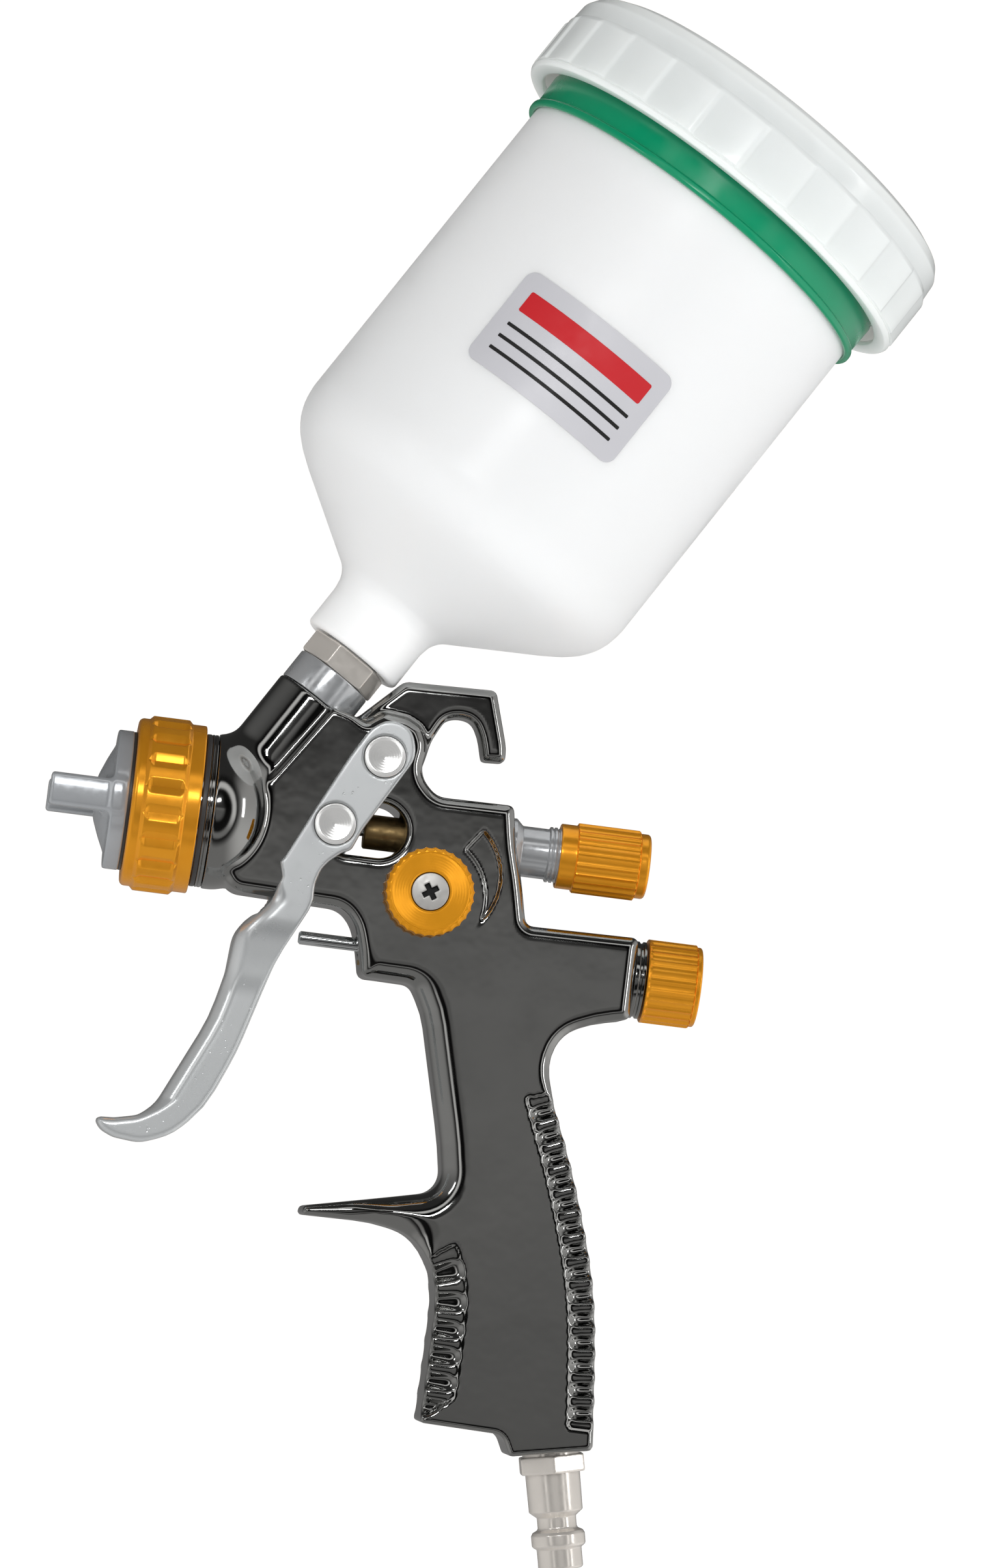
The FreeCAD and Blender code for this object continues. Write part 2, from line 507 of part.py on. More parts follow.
def make_trigger():
    """Two side plates that straddle the body, joined by the finger lever, on a pin with two heads."""
    body = new_body("trigger")
    pad_sideways(body, "plates", outline(TRIGGER_PLATE), "trigger_wide")
    pad_sideways(body, "gap", outline([(30.0, -33.0), (72.0, -33.0), (72.0, 30.0), (30.0, 30.0)]),
                 "trigger_gap", cut=True)
    pad_sideways(body, "bridge", outline([
        (34.2, -26.2), (33.7, -31.7), (44.2, -31.7), (47.0, -25.0), (46.6, -20.6), (39.4, -20.6)]),
        "trigger_gap + 1")
    pad_sideways(body, "lever", outline(TRIGGER_LEVER), "lever_wide")
    pad_sideways(body, "pivot_hole", circle("pivot_back", "pivot_up", "pin_head + 0.06"),
                 "trigger_wide + 2", cut=True)
    pad_sideways(body, "stud_hole", circle("drive_back", "0", "pin_head"), "trigger_wide + 2", cut=True)
    pin = new_body("trigger_pivot_pin")
    turn_across(pin, "turning", "pivot_back", "pivot_up", [
        (-4.0, 0), (-4.0, "pin_shank"), ("body_wide / 2 + 0.1", "pin_shank"),
        ("body_wide / 2 + 0.1", "pin_head"), ("trigger_wide / 2 + 0.3", "pin_head"),
        ("trigger_wide / 2 + 0.6", "pin_head - 0.4"), ("trigger_wide / 2 + 0.3", 0)])
    screw = new_body("trigger_pivot_screw")
    turn_across(screw, "turning", "pivot_back", "pivot_up", [
        (-4.0, 0), (-4.0, "pin_shank"), ("0 - body_wide / 2 - 0.1", "pin_shank"),
        ("0 - body_wide / 2 - 0.1", "pin_head"), ("0 - trigger_wide / 2 - 0.3", "pin_head"),
        ("0 - trigger_wide / 2 - 0.6", "pin_head - 0.4"), ("0 - trigger_wide / 2 - 0.3", 0)])
    for node, side in (("near_drive_stud", 1), ("far_drive_stud", -1)):
        stud = new_body(node)
        turn_across(stud, "turning", "drive_back", "0", [
            (side * 2.6, 0), (side * 2.6, "drive_radius"), ("%d * trigger_gap / 2" % side, "drive_radius"),
            ("%d * trigger_gap / 2" % side, "pin_head"),
            ("%d * (trigger_wide / 2 + 0.3)" % side, "pin_head"),
            ("%d * (trigger_wide / 2 + 0.6)" % side, "pin_head - 0.4"),
            ("%d * (trigger_wide / 2 + 0.3)" % side, 0)])


# ---------------------------------------------------------------- fan control
def make_fan_control():
    """A knob on the -Y side that turns a spool across the body."""
    across = ("fan_back", "0 - fan_down")
    spool = new_body("fan_valve_spool")
    turn_across(spool, "turning", *across, [
        (-7.5, 0), (-7.5, "fan_spool_radius"), (1.0, "fan_spool_radius"), (1.0, 3.0), (3.0, 3.0),
        (3.0, "fan_spool_radius"), (6.2, "fan_spool_radius"), (6.2, 2.6), (13.5, 2.6), (13.5, 1.5),
        (8.0, 1.5), (8.0, 0)])
    seal = new_body("fan_valve_seal")
    turn_across(seal, "turning", *across, [
        (1.1, 3.0), (1.1, "fan_spool_radius"), (2.9, "fan_spool_radius"), (2.9, 3.0)])
    gland = new_body("fan_valve_gland")
    turn_across(gland, "turning", *across, [
        (6.5, 2.66), (6.5, 5.0), ("body_wide / 2", 5.0), ("body_wide / 2", 2.66)])
    knob = new_body("fan_knob")
    turn_across(knob, "turning", *across, [
        ("body_wide / 2 + 0.3", 2.6), ("body_wide / 2 + 0.3", "fan_knob_radius - 0.6"),
        ("body_wide / 2 + 0.9", "fan_knob_radius"), (16.2, "fan_knob_radius"),
        (17.2, "fan_knob_radius - 1.0"), (17.2, 4.2), (14.6, 1.5), (13.5, 1.5), (13.5, 2.6)])
    screw = new_body("fan_knob_screw")
    turn_across(screw, "turning", *across, [
        (8.0, 0), (8.0, 1.5), (14.6, 1.5), (17.2, 4.2), (17.4, 0)])


# ---------------------------------------------------------------- air valve and its knob
def make_air_valve():
    """The valve that the trigger opens, and the knob that limits its air."""
    turned("air_valve_stem", "valve", [
        ("stem_front", 0), ("stem_front", "stem_radius - 0.4"), ("stem_front + 0.4", "stem_radius"),
        (90.0, "stem_radius"), (90.0, 0)])
    turned("air_valve_poppet", "valve", [
        (79.3, "stem_radius"), (79.3, 3.4), (80.6, 4.6), (83.6, 4.6), (83.6, "stem_radius")])
    turned("air_valve_gland", "valve", [
        (62.4, "stem_radius + 0.06"), (62.4, 4.5), (70.0, 4.5), (70.0, "stem_radius + 0.06")])
    turned("air_valve_seat", "valve", [
        (76.0, 2.4), (76.0, "chamber_radius"), (79.0, "chamber_radius"), (79.0, 2.4)])
    add_coil("air_valve_spring", "valve", "84", "117.6", "3.6", "0.45", 12)
    turned("air_valve_bush", "valve", [
        (102.0, 4.7), (102.0, "valve_bush_radius"), ("boss_back", "valve_bush_radius"), ("boss_back", 8.6),
        ("air_knob_front - 0.3", 8.6), ("air_knob_front - 0.3", 2.56), (118.0, 2.56), (118.0, 4.7)])
    turned("air_knob_spindle", "valve", [
        (112.0, 0), (112.0, 2.5), (132.0, 2.5), (132.0, 0)])
    turned("air_knob", "valve", [
        ("air_knob_front", 2.5), ("air_knob_front", "air_knob_radius"), (137.3, "air_knob_radius"),
        (137.3, 8.9), ("air_knob_back", 8.6), ("air_knob_back", 0), (132.0, 0), (132.0, 2.5)])


# ---------------------------------------------------------------- air inlet plug
def make_air_plug():
    """Quick-connect plug that screws into the foot of the handle."""
    plug = new_body("air_plug")
    add_hexagon(plug, "hexagon", "plug", "0", "4", "8.1", 30)
    turn_about(plug, "stem", "plug", [
        (-10.5, 0), (-10.5, "plug_thread"), (0, "plug_thread"), (3.5, 6.0), (12.5, 6.0), (13.7, 4.37),
        (16.3, 4.37), (17.2, 6.0), (20.4, 6.0), (20.6, "plug_nose"), ("plug_length - 0.6", "plug_nose"),
        ("plug_length", "plug_nose - 0.6"), ("plug_length", 0)])
    turn_about(plug, "air_way", "plug", [
        (-12.0, 0), (-12.0, 3.5), ("plug_length + 1", 3.5), ("plug_length + 1", 0)], cut=True)


def write_parts():
    """Check every object and write each sub-part's shape."""
    document.recompute()
    for item in document.Objects:
        for problem in ("Invalid", "Error"):
            if problem in item.State:
                raise RuntimeError("%s is %s" % (item.Name, item.State))
    os.makedirs("parts", exist_ok=True)
    for node in nodes:
        shape = node.Shape
        if shape.isNull() or not shape.isValid() or not shape.Solids:
            raise RuntimeError("%s has no valid solid" % node.Label)
        shape.exportStep("parts/%s.step" % node.Label)
        print("%-22s %d solid, %9.1f mm3" % (node.Label, len(shape.Solids), shape.Volume))


make_gun_body()
make_head()
make_needle_line()
make_cup()
make_trigger()
make_fan_control()
make_air_valve()
make_air_plug()
write_parts()
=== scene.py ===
"""Looks of a gravity-feed paint spray gun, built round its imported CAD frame.

Lengths are millimetres, turned into metres as each mesh is made. Lamps, the floor and the places that
materials read are in metres. The frame's origin is the fluid tip: X runs back along the spray axis, Z is up,
and the camera is on the -Y side.
"""
import json
import math

import bpy
import numpy as np
from mathutils import Matrix, Vector


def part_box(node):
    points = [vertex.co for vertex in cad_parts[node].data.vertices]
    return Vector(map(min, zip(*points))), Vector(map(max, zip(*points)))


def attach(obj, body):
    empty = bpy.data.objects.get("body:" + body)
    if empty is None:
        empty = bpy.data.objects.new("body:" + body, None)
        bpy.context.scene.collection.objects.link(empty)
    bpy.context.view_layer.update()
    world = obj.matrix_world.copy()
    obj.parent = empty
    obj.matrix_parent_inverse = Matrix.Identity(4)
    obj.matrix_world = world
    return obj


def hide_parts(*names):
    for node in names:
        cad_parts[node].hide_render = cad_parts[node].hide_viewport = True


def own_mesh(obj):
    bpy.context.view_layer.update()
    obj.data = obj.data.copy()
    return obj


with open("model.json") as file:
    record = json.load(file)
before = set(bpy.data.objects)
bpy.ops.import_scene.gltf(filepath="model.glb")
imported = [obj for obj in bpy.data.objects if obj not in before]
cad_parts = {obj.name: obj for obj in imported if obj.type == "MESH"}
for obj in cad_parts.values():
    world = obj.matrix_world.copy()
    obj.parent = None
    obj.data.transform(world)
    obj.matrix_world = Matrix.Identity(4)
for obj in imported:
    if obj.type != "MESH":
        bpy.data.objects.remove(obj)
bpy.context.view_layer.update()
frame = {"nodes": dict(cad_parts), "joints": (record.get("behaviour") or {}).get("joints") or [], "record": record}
MM = 0.001

# ---- places, read from the frame
JOINTS = {joint["name"]: joint for joint in frame["joints"]}
MOUNTS = {mount["name"]: mount for mount in frame["record"]["mounts"]}


def low(node):
    """Lowest corner of a CAD node, in millimetres."""
    return np.array(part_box(node)[0]) / MM


def high(node):
    """Highest corner of a CAD node, in millimetres."""
    return np.array(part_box(node)[1]) / MM


def middle(node):
    """Centre of a CAD node's box, in millimetres."""
    return (low(node) + high(node)) / 2


class Axis:
    """A line that parts are turned about: a point on it, its direction, and two directions across it."""

    def __init__(self, point, way):
        self.point = np.array(point, float)
        self.way = np.array(way, float) / np.linalg.norm(way)
        near = np.array((0.0, -1.0, 0.0)) if abs(self.way[1]) < 0.9 else np.array((0.0, 0.0, 1.0))
        near = near - near.dot(self.way) * self.way
        self.near = near / np.linalg.norm(near)
        self.side = np.cross(self.way, self.near)

    def at(self, along, radius, angle):
        """Points at distances along the axis, radii and angles. Angle 0 is the side nearest the viewer."""
        along, radius, angle = (np.asarray(value, float)[..., None] for value in (along, radius, angle))
        out = self.near * np.cos(angle) + self.side * np.sin(angle)
        return self.point + self.way * along + radius * out


CUP_RADIUS = 44.0
PLUG_LENGTH = 22.7
CUP_WAY = np.array(JOINTS["lid_lift"]["axis"])
CUP_MIDDLE = middle("cup_band")
CUP_FOOT = CUP_MIDDLE - CUP_WAY * CUP_MIDDLE[2] / CUP_WAY[2]
PLUG_WAY = np.array(MOUNTS["air_inlet"]["axis"])
PLUG_NOSE = np.array(MOUNTS["air_inlet"]["pos_m"]) / MM
PIVOT = np.array(JOINTS["trigger_pull"]["pos_m"]) / MM
DRIVE = middle("near_drive_stud")
FAN = middle("fan_knob")
VALVE = middle("air_knob")

SPRAY_AXIS = Axis((0, 0, 0), (1, 0, 0))
CUP_AXIS = Axis(CUP_FOOT, CUP_WAY)
VALVE_AXIS = Axis((0, 0, VALVE[2]), (1, 0, 0))
PLUG_AXIS = Axis(PLUG_NOSE - PLUG_WAY * PLUG_LENGTH, PLUG_WAY)
FAN_AXIS = Axis((FAN[0], 0, FAN[2]), (0, -1, 0))
PIVOT_AXIS = Axis((PIVOT[0], 0, PIVOT[2]), (0, -1, 0))
DRIVE_AXIS = Axis((DRIVE[0], 0, DRIVE[2]), (0, -1, 0))


# ---- materials
def add_node(tree, kind, inputs=(), **values):
    """Add a shader node to a tree, set its properties, and set or link its inputs."""
    node = tree.nodes.new("ShaderNode" + kind)
    for key, value in values.items():
        setattr(node, key, value)
    for key, value in dict(inputs).items():
        if isinstance(value, bpy.types.NodeSocket):
            tree.links.new(value, node.inputs[key])
        else:
            node.inputs[key].default_value = value
    return node


def map_range(tree, source, low_in, high_in, low_out, high_out, **values):
    """Map one range of values to another."""
    limits = {"From Min": low_in, "From Max": high_in, "To Min": low_out, "To Max": high_out}
    return add_node(tree, "MapRange", {"Value": source, **limits}, **values).outputs["Result"]


class Surface:
    """A material: uniform values on the shader's own sockets, and patterns that drive some of them."""

    def __init__(self, name, color, metallic, roughness):
        self.material = bpy.data.materials.new(name)
        self.material.use_nodes = True
        self.tree = self.material.node_tree
        self.shader = self.tree.nodes["Principled BSDF"]
        self.put("Base Color", (*color, 1))
        self.put("Metallic", metallic)
        self.put("Roughness", roughness)

    def put(self, socket, value):
        """Set one of the shader's sockets."""
        self.shader.inputs[socket].default_value = value

    def drive(self, socket, source):
        """Drive one of the shader's sockets by a pattern."""
        self.tree.links.new(source, self.shader.inputs[socket])

    def place(self):
        """Coordinates fixed to the object, in metres."""
        return add_node(self.tree, "TexCoord").outputs["Object"]

    def coordinate(self, letter):
        """One of those coordinates: X, Y or Z."""
        return add_node(self.tree, "SeparateXYZ", {0: self.place()}).outputs[letter]

    def noise(self, scale, detail=3.0):
        """Noise over the object."""
        grain = {"Vector": self.place(), "Scale": scale, "Detail": detail}
        return add_node(self.tree, "TexNoise", grain).outputs["Fac"]

    def ranged(self, source, *limits):
        """Map one range of values to another."""
        return map_range(self.tree, source, *limits)

    def mixed(self, factor, first, second):
        """Blend two colours by a factor."""
        inputs = {"Factor": factor, 6: (*first, 1), 7: (*second, 1)}
        return add_node(self.tree, "Mix", inputs, data_type="RGBA").outputs[2]

    def cloud(self, scale, low, high, detail=3.0):
        """Roughness that varies between two values, in noise."""
        self.drive("Roughness", self.ranged(self.noise(scale, detail), 0.3, 0.7, low, high))

    def tint(self, scale, first, second, detail=3.0):
        """Colour that varies between two colours, in noise."""
        self.drive("Base Color", self.mixed(self.noise(scale, detail), first, second))

    def bump(self, source, strength, distance):
        """Raise the surface by a pattern, in millimetres."""
        relief = {"Strength": strength, "Distance": distance * MM, "Height": source}
        self.drive("Normal", add_node(self.tree, "Bump", relief).outputs["Normal"])

    def grain(self, scale, strength, distance):
        """Raise the surface by noise."""
        self.bump(self.noise(scale, 2), strength, distance)


def dimmed(color, share):
    """A share of a colour."""
    return tuple(value * share for value in color)


def smoked_chrome():
    """Dark mirror plating with faint haze and the casting's slow waviness under it."""
    surface = Surface("smoked chrome", (0.35, 0.35, 0.345), 1.0, 0.07)
    surface.drive("Roughness", surface.ranged(surface.noise(90, 4), 0.35, 0.75, 0.045, 0.12))
    surface.tint(35, (0.315, 0.32, 0.315), (0.375, 0.375, 0.365))
    surface.grain(140, 0.25, 0.12)
    return surface.material


def gold_anodised():
    """Turned aluminium with a gold film."""
    surface = Surface("gold anodised", (0.92, 0.37, 0.02), 0.68, 0.26)
    surface.cloud(500, 0.2, 0.265)
    surface.tint(120, (0.88, 0.33, 0.012), (0.96, 0.42, 0.03))
    surface.grain(900, 0.05, 0.02)
    return surface.material


def plated_steel():
    """Satin zinc plating with fine pits and faint clouding, rubbed bright down the finger lever."""
    surface = Surface("plated steel", (0.62, 0.64, 0.65), 0.75, 0.36)
    rubbed = surface.ranged(surface.coordinate("Z"), -0.032, -0.018, 0.0, 1.0)
    satin = surface.ranged(surface.noise(260, 5), 0.3, 0.7, 0.28, 0.38)
    lever = 0.22
    blend = add_node(surface.tree, "Mix", {"Factor": rubbed, 2: lever, 3: satin}, data_type="FLOAT")
    surface.drive("Roughness", blend.outputs[0])
    surface.drive("Metallic", surface.ranged(rubbed, 0.0, 1.0, 0.6, 0.8))
    surface.tint(70, (0.58, 0.6, 0.61), (0.66, 0.68, 0.685), 4)
    pits = surface.ranged(surface.noise(1100, 2), 0.68, 0.76, 0.0, 1.0)
    surface.bump(pits, 0.5, -0.05)
    return surface.material


def polished(name, color, roughness, relief=0.02, metal=1.0):
    """Turned or polished metal with fine grain; less metal makes it more satin."""
    surface = Surface(name, color, metal, roughness)
    grain = 700
    surface.cloud(grain, roughness * 0.7, roughness * 1.35, 4)
    surface.tint(grain / 6, dimmed(color, 0.88), color)
    surface.grain(grain * 2, 0.1, relief)
    return surface.material


def screw_steel():
    """Satin steel with painted shade: its cross slot, below the head's face, is coloured near black."""
    steel, painted_slot_shade = (0.6, 0.59, 0.57), (0.02, 0.02, 0.02)
    surface = Surface("screw steel", steel, 0.7, 0.42)
    # Painted shade: deeper than the head's face, the colour goes near black to stand in for the shadow down in the
    # cross slot.
    slot_shade_mask = surface.ranged(surface.coordinate("Y"), -0.01695, -0.0166, 0.0, 1.0)
    surface.drive("Base Color", surface.mixed(slot_shade_mask, steel, painted_slot_shade))
    surface.cloud(700, 0.3, 0.5, 4)
    return surface.material


def turned_face(name, color, axis, roughness):
    """Metal faced on a lathe: fine rings about its axis."""
    surface = Surface(name, color, 0.65, roughness)
    radians_per_metre = 10500.0

    def maths(kind, operation, *inputs):
        """One operation's outputs."""
        return add_node(surface.tree, kind, enumerate(inputs), operation=operation).outputs

    shifted = maths("VectorMath", "SUBTRACT", surface.place(), Vector(axis.point * MM))
    cross = maths("VectorMath", "CROSS_PRODUCT", shifted[0], Vector(axis.way))
    radius = maths("VectorMath", "LENGTH", cross[0])
    wave = maths("Math", "MULTIPLY", radius["Value"], radians_per_metre)
    rings = maths("Math", "SINE", wave[0])
    surface.put("Anisotropic", 0.85)
    surface.drive("Tangent", cross["Vector"])
    surface.cloud(500, roughness * 0.9, roughness * 1.2)
    surface.bump(rings[0], 0.15, 0.01)
    return surface.material


def milky_plastic(name, color, inside, roughness):
    """Translucent moulded plastic: light goes in and spreads."""
    surface = Surface(name, color, 0.0, roughness)
    surface.put("Subsurface Weight", inside)
    surface.put("Subsurface Radius", (1.0, 0.95, 0.9))
    surface.put("Subsurface Scale", 0.012)
    surface.put("IOR", 1.49)
    surface.cloud(60, roughness * 0.8, roughness * 1.25, 4)
    surface.tint(18, dimmed(color, 0.99), color)
    surface.grain(40, 0.05, 0.1)
    return surface.material


def moulded(name, color, roughness, relief=0.05):
    """Plain moulded plastic or rubber."""
    surface = Surface(name, color, 0.0, roughness)
    surface.cloud(200, roughness * 0.8, roughness * 1.25)
    surface.tint(40, dimmed(color, 0.85), color)
    surface.grain(600, 0.2, relief)
    return surface.material


CHROME = smoked_chrome()
GOLD = gold_anodised()
PLATED = plated_steel()
STEEL = polished("polished steel", (0.72, 0.74, 0.75), 0.1)
CAP_STEEL = polished("air cap steel", (0.46, 0.48, 0.5), 0.2, metal=0.55)
RING_STEEL = polished("ring steel", (0.56, 0.575, 0.59), 0.2, metal=0.7)
SCREW_STEEL = screw_steel()
NICKEL = polished("nickel brass", (0.76, 0.72, 0.67), 0.2, relief=0.04, metal=0.6)
BRASS = polished("brass", (0.42, 0.29, 0.13), 0.42)
SPRING_STEEL = polished("spring steel", (0.5, 0.5, 0.5), 0.2, metal=0.9)
SPINDLE = polished("spindle steel", (0.13, 0.13, 0.12), 0.42, metal=0.7)
CUP_PLASTIC = milky_plastic("cup plastic", (0.9, 0.905, 0.9), 0.52, 0.37)
LID_PLASTIC = milky_plastic("lid plastic", (0.87, 0.91, 0.885), 0.62, 0.2)
GREEN = moulded("green plastic", (0.0, 0.25, 0.115), 0.22, 0.01)
RUBBER = moulded("black rubber", (0.035, 0.034, 0.034), 0.35)
SEAL_PLASTIC = moulded("seal plastic", (0.72, 0.7, 0.66), 0.4)
FOIL = moulded("label foil", (0.5, 0.5, 0.53), 0.4, 0.01)
RED = moulded("label red", (0.5, 0.002, 0.008), 0.5, 0.01)
INK = moulded("label ink", (0.006, 0.006, 0.006), 0.5, 0.01)
PIVOT_FACE = turned_face("pivot face", (0.82, 0.82, 0.81), PIVOT_AXIS, 0.2)
DRIVE_FACE = turned_face("drive stud face", (0.82, 0.82, 0.81), DRIVE_AXIS, 0.2)
FAN_FACE = turned_face("fan knob face", (0.88, 0.36, 0.012), FAN_AXIS, 0.32)


# ---- outlines
ARC_STEP = 12.0


def unit(vector):
    """The vector at length one."""
    return vector / max(np.linalg.norm(vector), 1e-9)


def rounded(corners, closed=True):
    """Round an outline's corners with arcs.

    A corner is (first, second) or (first, second, radius). Without a radius it is as round as its runs allow.
    """
    count = len(corners)
    points = [np.array(corner[:2], float) for corner in corners]
    result = []
    for index, corner in enumerate(corners):
        here = points[index]
        if not closed and index in (0, count - 1):
            result.append(here)
            continue
        before = points[index - 1] - here
        after = points[(index + 1) % count] - here
        reach = 0.49 * min(np.linalg.norm(before), np.linalg.norm(after))
        a, b = unit(before), unit(after)
        turn = math.pi - math.acos(np.clip(a.dot(b), -1, 1))
        if turn < 0.01 or (len(corner) == 3 and corner[2] <= 0):
            result.append(here)
            continue
        half = math.tan(turn / 2)
        if len(corner) == 3:
            reach = min(reach, corner[2] * half)
        radius = reach / half
        centre = here + unit(a + b) * math.hypot(reach, radius)
        start = here + a * reach - centre
        steps = max(2, math.ceil(math.degrees(turn) / ARC_STEP))
        way = np.sign(start[0] * (here - centre)[1] - start[1] * (here - centre)[0])
        for step in range(steps + 1):
            angle = way * turn * step / steps
            c, s = math.cos(angle), math.sin(angle)
            result.append(centre + np.array((c * start[0] - s * start[1], s * start[0] + c * start[1])))
    return np.array(result)


def spaced(points, longest, closed=True):
    """Divide an outline's long runs."""
    result = []
    last = len(points) if closed else len(points) - 1
    for index in range(last):
        here, there = points[index], points[(index + 1) % len(points)]
        parts = max(1, math.ceil(np.linalg.norm(there - here) / longest))
        result += [here + (there - here) * step / parts for step in range(parts)]
    if not closed:
        result.append(points[-1])
    return np.array(result)


# ---- meshes
def make_piece(name, vertices, faces, material, body, replaced=(), slot=None, normals=None, sharp=40):
    """A mesh from millimetres, smooth except across sharp edges, that rides on its body."""
    mesh = bpy.data.meshes.new(name)
    corners = faces if isinstance(faces, list) else faces.tolist()
    mesh.from_pydata((np.asarray(vertices) * MM).tolist(), [], corners)
    mesh.polygons.foreach_set("use_smooth", [True] * len(mesh.polygons))
    mesh.update()
    if normals is not None:
        mesh.normals_split_custom_set_from_vertices(normals.tolist())
    elif sharp:
        mesh.set_sharp_from_angle(angle=math.radians(sharp))
    mesh.materials.append(material)
    piece = bpy.data.objects.new(name, mesh)
    bpy.context.scene.collection.objects.link(piece)
    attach(piece, body)
    if replaced:
        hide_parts(*replaced)
        slot = slot or node_slot(replaced[0])
    return piece


def node_slot(node):
    """The material slot of a CAD node."""
    return [part["material_slot"] for part in frame["record"]["subparts"] if part["node"] == node][0]


def node_body(node):
    """The body that a CAD node rides on."""
    bodies = frame["record"]["behaviour"]["bodies"]
    return [body for body, members in bodies.items() if node in members][0]


def turn_profile(axis, outline, steps, shape=None, closed=True):
    """Vertices and faces of an outline of (along, radius) points turned about an axis."""
    angles = np.arange(steps) * 2 * math.pi / steps
    vertices, rings = [], []
    for along, radius in outline:
        if radius < 1e-6:
            rings.append([len(vertices)] * steps)
            vertices.append(axis.at(along, 0, 0))
            continue
        radii = np.full(steps, float(radius))
        if shape is not None:
            radii = shape(along, radius, angles)
        rings.append(list(range(len(vertices), len(vertices) + steps)))
        vertices.extend(axis.at(np.full(steps, along), radii, angles))
    faces = []
    pairs = list(zip(rings, rings[1:]))
    if closed:
        pairs.append((rings[-1], rings[0]))
    for first, second in pairs:
        for index in range(steps):
            following = (index + 1) % steps
            face = [first[index], first[following], second[following], second[index]]
            face = [v for k, v in enumerate(face) if v != face[k - 1]]
            if len(face) > 2:
                faces.append(face)
    vertices = np.array(vertices)
    corners = np.array([[face[0], face[1], face[-2]] for face in faces])
    a, b, c = ((vertices - axis.point)[corners[:, k]] for k in range(3))
    if np.einsum("ij,ij->i", a, np.cross(b, c)).sum() < 0:
        faces = [face[::-1] for face in faces]
    return vertices, faces


def turned(name, node, axis, corners, material, steps=96, shape=None, spacing=None):
    """A turned piece that stands for a CAD node."""
    closed = not (corners[0][1] == 0 and corners[-1][1] == 0)
    outline = rounded(corners, closed)
    if spacing:
        outline = spaced(outline, spacing, closed)
    vertices, faces = turn_profile(axis, outline, steps, shape, closed)
    make_piece(name, vertices, faces, material, node_body(node), (node,))


# ---- distance fields
def ramp(value, start, end):
    """Smooth step from 0 at start to 1 at end."""
    t = np.clip((value - start) / (end - start), 0, 1)
    return t * t * (3 - 2 * t)


def join(a, b, blend):
    """Smooth union of two fields."""
    h = np.clip(0.5 + 0.5 * (b - a) / blend, 0, 1)
    return b + (a - b) * h - blend * h * (1 - h)


def carve(a, b, blend):
    """Field a with field b taken away, its edges rounded."""
    return -join(-a, b, blend)


def outline_field(outline, xs, zs):
    """Signed distance to a closed outline over a grid, and how far round the outline its nearest point is."""
    x, z = np.meshgrid(xs, zs, indexing="ij")
    nearest = np.full(x.shape, 1e9)
    place = np.zeros(x.shape)
    inside = np.zeros(x.shape, bool)
    travelled = 0.0
    for start, end in zip(outline, np.roll(outline, -1, axis=0)):
        run = end - start
        length = np.linalg.norm(run)
        if length < 1e-6:
            continue
        t = np.clip(((x - start[0]) * run[0] + (z - start[1]) * run[1]) / length ** 2, 0, 1)
        gap = (x - start[0] - t * run[0]) ** 2 + (z - start[1] - t * run[1]) ** 2
        closer = gap < nearest
        nearest[closer] = gap[closer]
        place[closer] = (travelled + t * length)[closer]
        if start[1] != end[1]:
            crossing = ((start[1] > z) != (end[1] > z)) & (x < run[0] * (z - start[1]) / run[1] + start[0])
            inside ^= crossing
        travelled += length
    distance = np.sqrt(nearest)
    return np.where(inside, -distance, distance), place


def crossed(first, second, edge):
    """Where two fields are both inside, the edge between them rounded."""
    first, second = first + edge, second + edge
    outside = np.hypot(np.maximum(first, 0), np.maximum(second, 0))
    return np.minimum(np.maximum(first, second), 0) + outside - edge


def slab(flat, y, half, edge):
    """An outline's field given thickness, its edges rounded."""
    return crossed(flat, np.abs(y) - half, edge)


def measured(offset, way):
    """How far offsets reach in one direction."""
    return sum(value * part for value, part in zip(offset, way))


def rod(x, y, z, axis, radius, start, end, edge):
    """A round bar between two places on an axis."""
    offset = [value - start for value, start in zip((x, y, z), axis.point)]
    along = measured(offset, axis.way)
    away = np.sqrt(np.maximum(sum(value ** 2 for value in offset) - along ** 2, 0))
    return crossed(away - radius, np.abs(along - (start + end) / 2) - (end - start) / 2, edge)


def sample(field, index):
    """Value of a gridded field between its points, by the eight nearest."""
    base = np.clip(np.floor(index).astype(int), 0, np.array(field.shape) - 2)
    f = index - base
    total = 0
    for corner in np.ndindex(2, 2, 2):
        weight = np.prod(np.where(corner, f, 1 - f), axis=1)
        total = total + weight * field[tuple((base + corner).T)]
    return total


